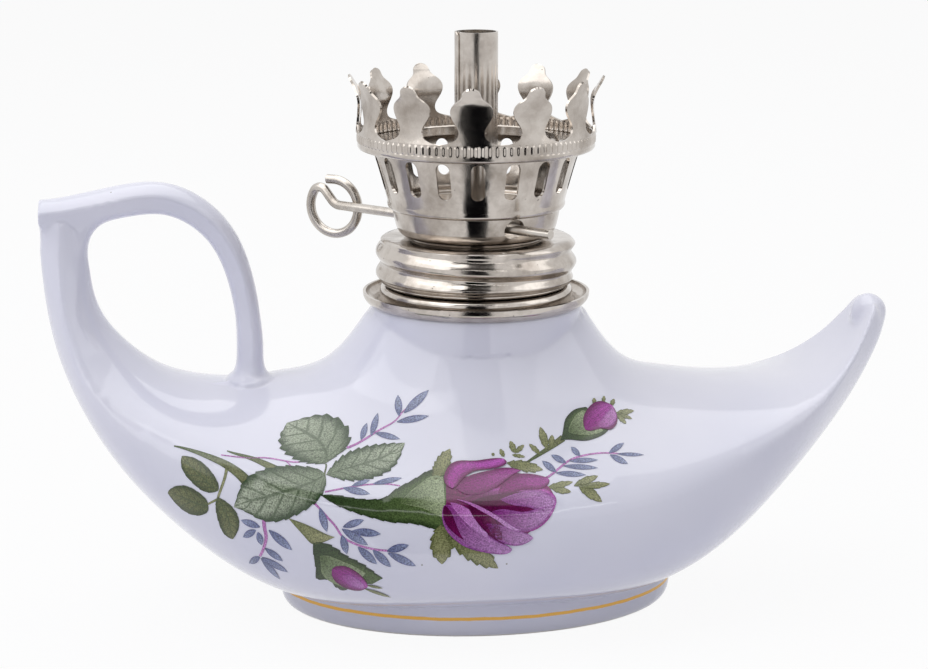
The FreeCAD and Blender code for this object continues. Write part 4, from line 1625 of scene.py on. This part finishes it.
class Inks(Enum):
    """Colours of the print, fired under the glaze."""

    LEAF = Ink("727F68", "9EA794", "2C4226", 0.5, Shape.LEAF)
    MOSS_LEAF = Ink("565E3A", "70734E", "394426", 0.42, Shape.LEAF)
    MOSS = Ink("72774E", "90916A", "5C623C", 0.55)
    STALK = Ink("4C5C38", "6F724C", "445230", 0.5)
    CALYX = Ink("2E4024", "53663C", "26361D", 0.7)
    CALYX_PALE = Ink("52633E", "94A080", "7E8C68", 0.75)
    SPRIG_LEAF = Ink("656D92", "8A93B2", "5C608E", 0.5)
    SPRIG_STEM = Ink("B070B0", "C083BE", "9A5C9E", 0.7)
    ROSE_GROUND = Ink("6A0C50", "8C2A74", "781A60", 0.6, Shape.PETAL)
    ROSE_TOP = Ink("9E2692", "B654B6", "66084F", 0.2, Shape.PETAL)
    ROSE_SECOND = Ink("7C1068", "A04296", "6A0A56", 0.3, Shape.PETAL)
    ROSE_DEEP = Ink("4E0838", "6C1252", "560E44", 0.6, Shape.PETAL)
    ROSE_MIDDLE = Ink("64084C", "B86CBA", "A4449C", 0.7, Shape.PETAL)
    ROSE_PALE = Ink("7E2C7C", "BA8AC2", "94509A", 0.6, Shape.PETAL)
    ROSE_RIM = Ink("B064B0", "C490CC", "B47CBA", 0.8, Shape.PETAL)
    BUD = Ink("881C7C", "B454B0", "680A56", 0.4, Shape.PETAL)
    BUD_PALE = Ink("9E4498", "B878BC", "904092", 0.6, Shape.PETAL)


@dataclass(frozen=True)
class Printed:
    """Transfer print under clear glaze: coloured dots of ink, with veins in leaves and streaks in petals."""

    name: str
    dots: float = 0.28
    dot_width: float = 0.16
    vein: float = 0.0
    vein_ink: str = "3F5136"
    vein_slant: float = 0.22
    veins: float = 6.5
    streak: float = 0.0
    streaks: float = 26.0
    roughness: float = 0.09

    def material(self) -> bpy.types.Material:
        """Builds the node material.

        Returns:
            The material.
        """
        material, tree, shader = blank_material(self.name)
        ink = add_node(tree, "Attribute", {"attribute_name": "ink"}).outputs["Color"]
        place = add_node(tree, "TexCoord").outputs["Object"]
        parts = add_node(tree, "SeparateXYZ", inputs={0: add_node(tree, "UVMap").outputs["UV"]})
        # The real dots are about half as wide. They are drawn as coarse as they need to show.
        dots = add_node(tree, "TexNoise", inputs={"Vector": place}, Scale=1 / (self.dot_width * MM), Detail=1.0)
        shade = add_node(tree, "MapRange", inputs={"Value": dots.outputs["Fac"]},
                         From_Min=0.3, From_Max=0.7, To_Min=1 - self.dots, To_Max=1 + self.dots)
        colour = add_node(tree, "VectorMath", {"operation": "SCALE"}, {0: ink, "Scale": shade.outputs[0]}).outputs[0]
        if self.vein:
            side = add_node(tree, "Math", {"operation": "MULTIPLY_ADD"}, {0: parts.outputs["X"], 1: 2.0, 2: -1.0})
            aside = add_node(tree, "Math", {"operation": "ABSOLUTE"}, {0: side.outputs[0]}).outputs[0]
            slant = add_node(tree, "Math", {"operation": "MULTIPLY_ADD"},
                             {0: aside, 1: -self.vein_slant, 2: parts.outputs["Y"]})
            wave = add_node(tree, "Math", {"operation": "MULTIPLY"}, {0: slant.outputs[0], 1: TURN * self.veins})
            rib = add_node(tree, "Math", {"operation": "COSINE"}, {0: wave.outputs[0]})
            ribs = add_node(tree, "MapRange", inputs={"Value": rib.outputs[0]}, From_Min=0.72, From_Max=0.98)
            middle = add_node(tree, "MapRange", inputs={"Value": aside},
                              From_Min=0.03, From_Max=0.09, To_Min=1.0, To_Max=0.0)
            lines = add_node(tree, "Math", {"operation": "MAXIMUM"}, {0: ribs.outputs[0], 1: middle.outputs[0]})
            amount = add_node(tree, "Math", {"operation": "MULTIPLY"}, {0: lines.outputs[0], 1: self.vein})
            veined = add_node(tree, "Mix", MIX_COLOURS,
                              {"Factor": amount.outputs[0], COLOUR_A: colour, COLOUR_B: linear(self.vein_ink)})
            colour = veined.outputs[MIXED]
        if self.streak:
            run = add_node(tree, "CombineXYZ", inputs={"X": parts.outputs["X"]})
            fine = add_node(tree, "TexNoise", inputs={"Vector": run.outputs[0]}, Scale=self.streaks, Detail=3.0)
            pale = add_node(tree, "MapRange", inputs={"Value": fine.outputs["Fac"]},
                            From_Min=0.35, From_Max=0.7, To_Min=1 - self.streak, To_Max=1 + self.streak)
            colour = add_node(tree, "VectorMath", {"operation": "SCALE"},
                              {0: colour, "Scale": pale.outputs[0]}).outputs[0]
        tree.links.new(colour, shader.inputs["Base Color"])
        shader.inputs["Roughness"].default_value = self.roughness
        shader.inputs["IOR"].default_value = GlazedPorcelain.ior
        return material


@dataclass
class Spray:
    """Rose spray on the near side, laid on the hull along the lines of sight of the main view.

    Every place is in pixels of the 928 x 669 view, read one by one; each line runs from a shape's foot to its tip.
    """

    body: bpy.types.Object
    studio: Studio
    lift: float = 0.03
    step: float = 0.018
    row_pixels: float = 1.1
    least_rows: int = 10
    tooth_rows: int = 5
    columns: int = 16
    leaf_columns: int = 24
    surface: BVHTree | None = None
    groups: dict[Shape, list[bpy.types.Object]] = field(default_factory=lambda: {shape: [] for shape in Shape})

    def spread(self, line: Outline, count: int) -> list[Vector]:
        """Evenly spread points along a smooth line through given ones.

        Args:
            line: the given points.
            count: how many spans to make.

        Returns:
            The points, count + 1 in all.
        """
        points = [Vector((x, y, 0)) for x, y in line]
        if len(points) > 3:
            curve = Curve(points)
            points = [curve.at(step / 60) for step in range(61)]
        reach = [0.0]
        for here, there in zip(points, points[1:]):
            reach.append(reach[-1] + (there - here).length)
        spread, index = [], 0
        for step in range(count + 1):
            goal = reach[-1] * step / count
            while index < len(points) - 2 and reach[index + 1] < goal:
                index += 1
            span = reach[index + 1] - reach[index]
            spread.append(points[index].lerp(points[index + 1], (goal - reach[index]) / span if span else 0.0))
        return spread

    def patch(self, one: Outline, other: Outline, inks: Inks, layer: int, teeth: int = 0, bite: float = 0.0) -> None:
        """Lays one printed shape between two lines on the hull.

        Args:
            one: its first side, from foot to tip.
            other: its second side, from foot to tip.
            inks: its colours.
            layer: how many shapes lie under it.
            teeth: how many teeth each side has.
            bite: how deep the teeth are, in pixels.
        """
        length = sum((Vector(b) - Vector(a)).length for a, b in zip(one, one[1:]))
        ink = inks.value
        rows = max(self.least_rows, int(length / self.row_pixels), self.tooth_rows * teeth)
        columns = self.leaf_columns if ink.shape is Shape.LEAF else self.columns
        foot, tip, edge = [Vector(linear(code)[:3]) for code in (ink.foot, ink.tip, ink.edge)]
        first, second = self.spread(one, rows), self.spread(other, rows)
        eye = self.studio.eye()
        grid, colours, places = [], [], []
        for row, (left, right) in enumerate(zip(first, second)):
            v = row / rows
            saw = (v * teeth) % 1.0 if teeth else 0.0
            outward = Vector()
            if (left - right).length:
                outward = (left - right).normalized() * bite * saw * min(1.0, 6 * v, 6 * (1 - v))
            left, right = left + outward, right - outward
            line = []
            for column in range(columns + 1):
                u = column / columns
                spot = left.lerp(right, u)
                hit, normal, _, _ = self.surface.ray_cast(eye * MM, self.studio.sight((spot.x, spot.y)))
                if hit is None:
                    log.warning("print misses the hull at %.0f, %.0f", spot.x, spot.y)
                    return
                line.append(hit / MM + normal * (self.lift + self.step * layer))
                share = smoothstep(ink.edge_start, 1.0, abs(2 * u - 1))
                colours.append(foot.lerp(tip, smoothstep(0.0, 1.0, v)).lerp(edge, share))
                places.append((u, v))
            grid.append(line)
        piece = from_grid("print", grid, False)
        paint = piece.data.color_attributes.new("ink", "FLOAT_COLOR", "POINT")
        for index, colour in enumerate(colours):
            paint.data[index].color = (*colour, 1.0)
        uv = piece.data.uv_layers.new(name="print")
        for loop in piece.data.loops:
            uv.data[loop.index].uv = places[loop.vertex_index]
        self.groups[ink.shape].append(piece)

    def stroke(self, line: Outline, start: float, end: float, inks: Inks, layer: int) -> None:
        """Draws a stem along a line.

        Args:
            line: places along its middle.
            start: half its width at the first place, in pixels.
            end: half its width at the last place, in pixels.
            inks: its colours.
            layer: how many shapes lie under it.
        """
        points = self.spread(line, max(8, 2 * len(line)))
        left, right = [], []
        for index, point in enumerate(points):
            ahead = points[min(index + 1, len(points) - 1)] - points[max(index - 1, 0)]
            across = Vector((-ahead.y, ahead.x, 0)).normalized()
            half = start + (end - start) * index / (len(points) - 1)
            left.append(tuple((point + across * half).xy))
            right.append(tuple((point - across * half).xy))
        self.patch(left, right, inks, layer)

    def leaflet(self, foot: tuple[float, float], tip: tuple[float, float], half: float, inks: Inks, layer: int,
                teeth: int = 0, bite: float = 0.0) -> None:
        """Lays a slim pointed leaflet.

        Args:
            foot: where it starts.
            tip: where it ends.
            half: half its greatest width, in pixels.
            inks: its colours.
            layer: how many shapes lie under it.
            teeth: how many teeth each side has.
            bite: how deep the teeth are, in pixels.
        """
        start, end = Vector((*foot, 0)), Vector((*tip, 0))
        across = Vector((start.y - end.y, end.x - start.x, 0)).normalized() * half
        shape = ((0.0, 0.12), (0.12, 0.5), (0.3, 0.88), (0.52, 1.0), (0.74, 0.78), (0.9, 0.36), (1.0, 0.02))
        one = [tuple((start.lerp(end, v) + across * w).xy) for v, w in shape]
        other = [tuple((start.lerp(end, v) - across * w).xy) for v, w in shape]
        self.patch(one, other, inks, layer, teeth, bite)

    def rose_leaves(self) -> None:
        """Three large serrated leaves and the three mossy ones at the left."""
        self.patch([(325, 464), (313, 463), (300, 460), (290, 454), (283, 447), (281, 438), (283, 431), (287, 423)],
                   [(325, 464), (340, 453), (347, 445), (348, 436), (345, 427), (336, 420), (323, 416), (307, 418),
                    (287, 423)],
                   Inks.LEAF, 1, 9, 4.2)
        self.patch([(326, 475), (333, 466), (346, 455), (364, 448), (382, 445), (405, 443)],
                   [(326, 475), (337, 478), (353, 480), (373, 477), (390, 469), (399, 457), (405, 443)],
                   Inks.LEAF, 1, 10, 2.4)
        self.patch([(325, 475), (316, 469), (300, 467), (282, 467), (263, 471), (248, 478), (240, 490), (234, 507)],
                   [(325, 475), (325, 487), (317, 500), (302, 511), (287, 518), (273, 521), (261, 519), (249, 513),
                    (234, 507)],
                   Inks.LEAF, 2, 11, 1.8)
        self.patch([(218, 491), (217, 481), (208, 468), (196, 459), (182, 456)],
                   [(218, 491), (204, 491), (192, 482), (183, 470), (182, 456)], Inks.MOSS_LEAF, 1, 6, 0.5)
        self.patch([(208, 505), (206, 499), (198, 492), (186, 486), (174, 487), (168, 493)],
                   [(208, 505), (206, 513), (196, 515), (185, 511), (175, 502), (168, 493)],
                   Inks.MOSS_LEAF, 1, 6, 0.5)
        self.patch([(218, 497), (216, 508), (219, 522), (224, 533), (233, 539)],
                   [(218, 497), (229, 504), (237, 514), (239, 526), (233, 539)], Inks.MOSS_LEAF, 1, 6, 0.5)

    def stalks(self) -> None:
        """Olive stalks at the left and under the upper bud."""
        self.stroke([(174, 446), (190, 450), (207, 456), (223, 463), (237, 472), (248, 483)], 0.7, 5.5, Inks.STALK, 0)
        self.stroke([(227, 451), (240, 455), (253, 459), (267, 465), (280, 472)], 0.6, 4.2, Inks.STALK, 0)
        self.stroke([(227, 463), (225, 477), (221, 489), (218, 498)], 1.6, 1.2, Inks.MOSS, 0)
        self.stroke([(219, 498), (214, 501), (210, 503), (207, 505)], 1.2, 1.0, Inks.MOSS, 0)
        self.stroke([(326, 464), (326, 468), (325, 472), (325, 477)], 0.8, 0.8, Inks.STALK, 0)
        self.stroke([(526, 463), (540, 454), (552, 446), (563, 438)], 1.0, 3.6, Inks.STALK, 0)

    def calyxes(self) -> None:
        """Green calyxes of the rose and of both buds."""
        self.patch([(321, 495), (340, 496), (357, 499), (381, 499), (394, 491), (408, 483), (420, 476), (432, 470),
                    (446, 476)],
                   [(321, 495), (337, 505), (357, 513), (374, 518), (392, 522), (410, 523), (428, 527), (442, 531),
                    (452, 528)],
                   Inks.CALYX, 1, 12, 1.0)
        self.patch([(400, 503), (410, 492), (420, 484), (430, 477), (443, 477)],
                   [(400, 503), (412, 506), (424, 509), (434, 514), (446, 518)], Inks.CALYX_PALE, 2)
        self.leaflet((434, 480), (450, 449), 6.5, Inks.MOSS, 2, 6, 2.0)
        self.leaflet((441, 525), (442, 564), 9.5, Inks.MOSS, 2, 5, 3.0)
        self.leaflet((444, 530), (498, 568), 9.0, Inks.MOSS, 2, 7, 3.0)
        self.patch([(560, 441), (563, 430), (565, 420), (570, 413), (576, 409), (586, 407)],
                   [(560, 441), (572, 440), (584, 441), (594, 439), (603, 435), (609, 429)], Inks.CALYX, 1)
        self.patch([(568, 432), (571, 423), (576, 415), (584, 410)],
                   [(568, 432), (579, 435), (592, 435), (603, 431)], Inks.CALYX_PALE, 2)
        self.patch([(288, 518), (300, 522), (312, 527), (324, 533), (335, 537)],
                   [(288, 518), (296, 527), (305, 537), (313, 544), (324, 542), (335, 537)], Inks.MOSS, 1)
        self.patch([(313, 543), (323, 543), (335, 548), (346, 556), (360, 563), (372, 571), (383, 578)],
                   [(313, 543), (314, 556), (316, 567), (318, 579), (329, 579), (340, 589), (354, 586), (372, 584)],
                   Inks.CALYX, 1, 8, 1.5)
        self.patch([(320, 556), (330, 556), (340, 560), (352, 565), (366, 573)],
                   [(320, 556), (321, 566), (324, 576), (336, 584), (350, 588)], Inks.CALYX_PALE, 2)
        self.leaflet((367, 585), (383, 588), 1.2, Inks.MOSS, 3)
        self.leaflet((364, 588), (391, 597), 1.4, Inks.MOSS, 3)

    def moss(self) -> None:
        """Mossy leaflets round the upper bud and at the right of the rose."""
        for foot, tip, half in (
                ((594, 404), (594, 398), 1.8), ((603, 403), (604, 396), 1.6), ((611, 406), (614, 399), 2.0),
                ((616, 413), (634, 411), 2.4), ((617, 413), (632, 419), 1.8), ((617, 414), (626, 424), 2.2),
                ((547, 449), (540, 427), 3.6), ((551, 447), (552, 435), 2.8), ((540, 454), (529, 444), 2.2),
                ((515, 453), (510, 441), 2.8), ((515, 453), (524, 445), 2.2), ((504, 457), (500, 449), 2.0),
                ((512, 455), (525, 457), 1.5), ((494, 456), (492, 453), 1.2), ((547, 488), (573, 482), 2.8),
                ((552, 489), (571, 492), 3.0), ((574, 486), (598, 476), 3.6), ((580, 487), (610, 484), 3.0),
                ((578, 484), (602, 502), 4.6)):
            self.leaflet(foot, tip, half, Inks.MOSS, 1, 3, 0.8)
        self.leaflet((507, 463), (543, 470), 4.6, Inks.MOSS, 1, 5, 1.6)

    def sprigs(self) -> None:
        """Lilac-leaved sprigs on thin pink stems."""
        for line, start, end in (
                ([(546, 478), (556, 471), (567, 462), (578, 457), (592, 454), (607, 453), (622, 454),
                  (634, 454)], 1.2, 0.6),
                ([(347, 448), (362, 441), (373, 434), (385, 427), (395, 421), (401, 414), (406, 409)], 1.2, 0.6),
                ([(325, 492), (340, 489), (357, 486), (378, 484), (400, 486)], 0.9, 0.6),
                ([(314, 503), (321, 510), (329, 519), (336, 527), (342, 536), (351, 542), (361, 546), (373, 549),
                  (391, 551)], 1.1, 1.0),
                ([(264, 520), (265, 530), (266, 539), (263, 550), (260, 556)], 1.9, 1.3),
                ([(221, 455), (237, 457), (251, 458), (267, 458), (285, 461), (300, 462)], 0.6, 0.7),
                ([(285, 461), (288, 463), (290, 465), (292, 467)], 0.6, 0.6)):
            self.stroke(line, start, end, Inks.SPRIG_STEM, 0)
        for foot, tip, half in (
                ((556, 472), (542, 461), 3.2), ((566, 463), (551, 455), 3.0), ((580, 456), (571, 447), 2.8),
                ((569, 461), (598, 460), 2.5), ((563, 466), (598, 468), 2.6), ((556, 473), (586, 475), 2.8),
                ((609, 453), (624, 443), 2.8), ((610, 455), (628, 464), 3.0), ((617, 454), (644, 455), 1.8),
                ((361, 440), (367, 423), 3.0), ((371, 436), (378, 413), 3.2), ((375, 433), (400, 439), 3.0),
                ((399, 416), (398, 395), 3.8), ((404, 413), (429, 390), 4.2), ((397, 422), (429, 416), 3.4),
                ((343, 488), (370, 494), 3.5), ((352, 486), (370, 480), 2.4), ((373, 484), (402, 478), 2.8),
                ((320, 508), (327, 532), 3.8), ((343, 527), (364, 520), 3.6), ((352, 531), (381, 534), 4.0),
                ((342, 529), (368, 545), 4.2), ((342, 535), (347, 554), 3.8), ((358, 547), (377, 564), 4.0),
                ((373, 550), (391, 567), 4.0), ((387, 551), (409, 545), 3.8), ((388, 553), (416, 566), 3.8),
                ((260, 527), (241, 520), 3.4), ((256, 530), (243, 537), 3.6), ((258, 532), (262, 545), 3.2),
                ((269, 530), (292, 550), 4.0), ((265, 548), (283, 561), 3.0), ((260, 557), (249, 563), 3.4),
                ((262, 557), (288, 572), 3.0), ((261, 558), (280, 579), 2.7)):
            self.leaflet(foot, tip, half, Inks.SPRIG_LEAF, 1)

    def rose(self) -> None:
        """Petals of the rose, from the back to the front."""
        self.patch([(446, 486), (462, 478), (482, 474), (504, 472), (526, 475), (545, 484), (554, 498)],
                   [(446, 506), (456, 520), (470, 532), (488, 542), (510, 543), (534, 528), (554, 498)],
                   Inks.ROSE_GROUND, 2)
        self.patch([(464, 498), (480, 492), (500, 488), (520, 486), (540, 488), (553, 494), (556, 504)],
                   [(464, 498), (474, 508), (490, 516), (508, 526), (526, 532), (544, 524), (556, 504)],
                   Inks.ROSE_MIDDLE, 3)
        self.patch([(498, 493), (503, 484), (511, 478), (522, 474), (536, 475), (547, 478)],
                   [(498, 493), (512, 493), (526, 490), (538, 490), (547, 486), (549, 480)], Inks.ROSE_SECOND, 4)
        self.patch([(456, 489), (462, 481), (472, 475), (488, 471), (504, 468), (521, 471)],
                   [(456, 489), (468, 495), (482, 494), (496, 488), (508, 479), (521, 471)], Inks.ROSE_SECOND, 5)
        self.patch([(452, 489), (444, 482), (445, 473), (450, 465), (460, 461), (474, 461), (490, 459), (503, 459)],
                   [(452, 489), (458, 485), (464, 478), (474, 472), (486, 470), (498, 468), (506, 464), (503, 459)],
                   Inks.ROSE_TOP, 6)
        self.patch([(470, 503), (484, 497), (502, 494), (522, 492), (540, 494), (551, 500)],
                   [(470, 503), (486, 510), (503, 516), (520, 519), (538, 514), (551, 500)], Inks.ROSE_DEEP, 4)
        self.patch([(500, 500), (516, 494), (532, 491), (546, 493), (555, 502)],
                   [(500, 500), (516, 506), (530, 508), (544, 512), (555, 502)], Inks.ROSE_PALE, 5)
        self.patch([(492, 512), (508, 510), (524, 512), (540, 508), (553, 508)],
                   [(492, 512), (508, 524), (524, 531), (540, 525), (553, 508)], Inks.ROSE_PALE, 5)
        self.patch([(444, 506), (442, 516), (445, 528), (453, 538), (466, 547), (484, 552), (502, 554), (512, 549)],
                   [(444, 506), (452, 506), (462, 512), (472, 522), (484, 532), (496, 540), (506, 545), (512, 549)],
                   Inks.ROSE_PALE, 6)
        self.patch([(445, 506), (443, 514), (446, 524), (454, 533), (464, 540)],
                   [(445, 506), (450, 511), (454, 519), (458, 529), (464, 540)], Inks.ROSE_DEEP, 7)
        self.patch([(450, 503), (456, 512), (465, 522), (476, 531), (488, 538)],
                   [(450, 503), (462, 506), (474, 514), (484, 526), (488, 538)], Inks.ROSE_RIM, 7)
        self.patch([(468, 506), (472, 515), (480, 526), (490, 535), (502, 540)],
                   [(468, 506), (480, 508), (492, 516), (500, 528), (502, 540)], Inks.ROSE_DEEP, 8)
        self.patch([(486, 524), (500, 525), (514, 529), (526, 533), (533, 538)],
                   [(486, 524), (494, 536), (506, 544), (520, 545), (533, 538)], Inks.ROSE_PALE, 8)
        self.patch([(456, 500), (470, 503), (484, 509), (498, 517), (512, 526), (522, 530)],
                   [(456, 500), (469, 505), (482, 512), (496, 520), (508, 528), (522, 530)], Inks.ROSE_RIM, 9)

    def buds(self) -> None:
        """Pink buds in their calyxes."""
        self.patch([(585, 430), (583, 423), (584, 415), (589, 407), (596, 402), (604, 402), (612, 406)],
                   [(585, 430), (593, 431), (602, 429), (610, 430), (616, 425), (617, 416), (612, 406)], Inks.BUD, 4)
        self.patch([(598, 427), (601, 420), (606, 413), (612, 408)],
                   [(598, 427), (606, 428), (614, 424), (616, 414)], Inks.BUD_PALE, 5)
        self.patch([(332, 571), (336, 566), (346, 566), (356, 571), (364, 578), (368, 586)],
                   [(332, 571), (334, 579), (341, 585), (350, 589), (360, 590), (368, 586)], Inks.BUD, 4)
        self.patch([(342, 575), (350, 574), (358, 578), (364, 584)],
                   [(342, 575), (348, 583), (356, 587), (364, 588)], Inks.BUD_PALE, 5)

    def build(self, shop: Workshop) -> None:
        """Lays the whole spray and joins it by kind of shape.

        Args:
            shop: the workshop with the finishes.
        """
        self.surface = BVHTree.FromObject(self.body, bpy.context.evaluated_depsgraph_get())
        self.stalks()
        self.sprigs()
        self.rose_leaves()
        self.moss()
        self.calyxes()
        self.rose()
        self.buds()
        finishes = {Shape.LEAF: Printed("leaf_print", vein=0.65, dots=0.55),
                    Shape.PETAL: Printed("petal_print", streak=0.34, dots=0.38),
                    Shape.PLAIN: Printed("sprig_print", dots=0.5)}
        for shape, pieces in self.groups.items():
            log.info("%s: %d shapes", shape.value, len(pieces))
            printed = joined(f"{shape.value}_print", pieces)
            activate(printed)
            bpy.ops.object.shade_smooth()
            printed.data.materials.append(finishes[shape].material())
            shop.deliver(printed, Slot.PORCELAIN, Body.FONT)


def main() -> None:
    """Builds the lamp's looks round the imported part."""
    logging.basicConfig(level=logging.INFO, format="%(name)s %(message)s")
    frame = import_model()
    nodes = frame["nodes"]
    shop = Workshop()
    shop.open()
    winder = Winder()
    studio = Studio()
    porcelain = PorcelainFont().build(shop, nodes)
    Spray(porcelain, studio).build(shop)
    shop.keep(nodes["collar_cement"], Slot.PLASTER)
    NeckCollar().build(shop)
    ScrewCap().build(shop)
    AirBasket().build(shop, winder)
    ChimneyShelf().build(shop)
    Crown().build(shop)
    WickTube().build(shop)
    winder.build(shop, nodes)
    Wick().build(shop)
    studio.build()


if __name__ == "__main__":
    main()
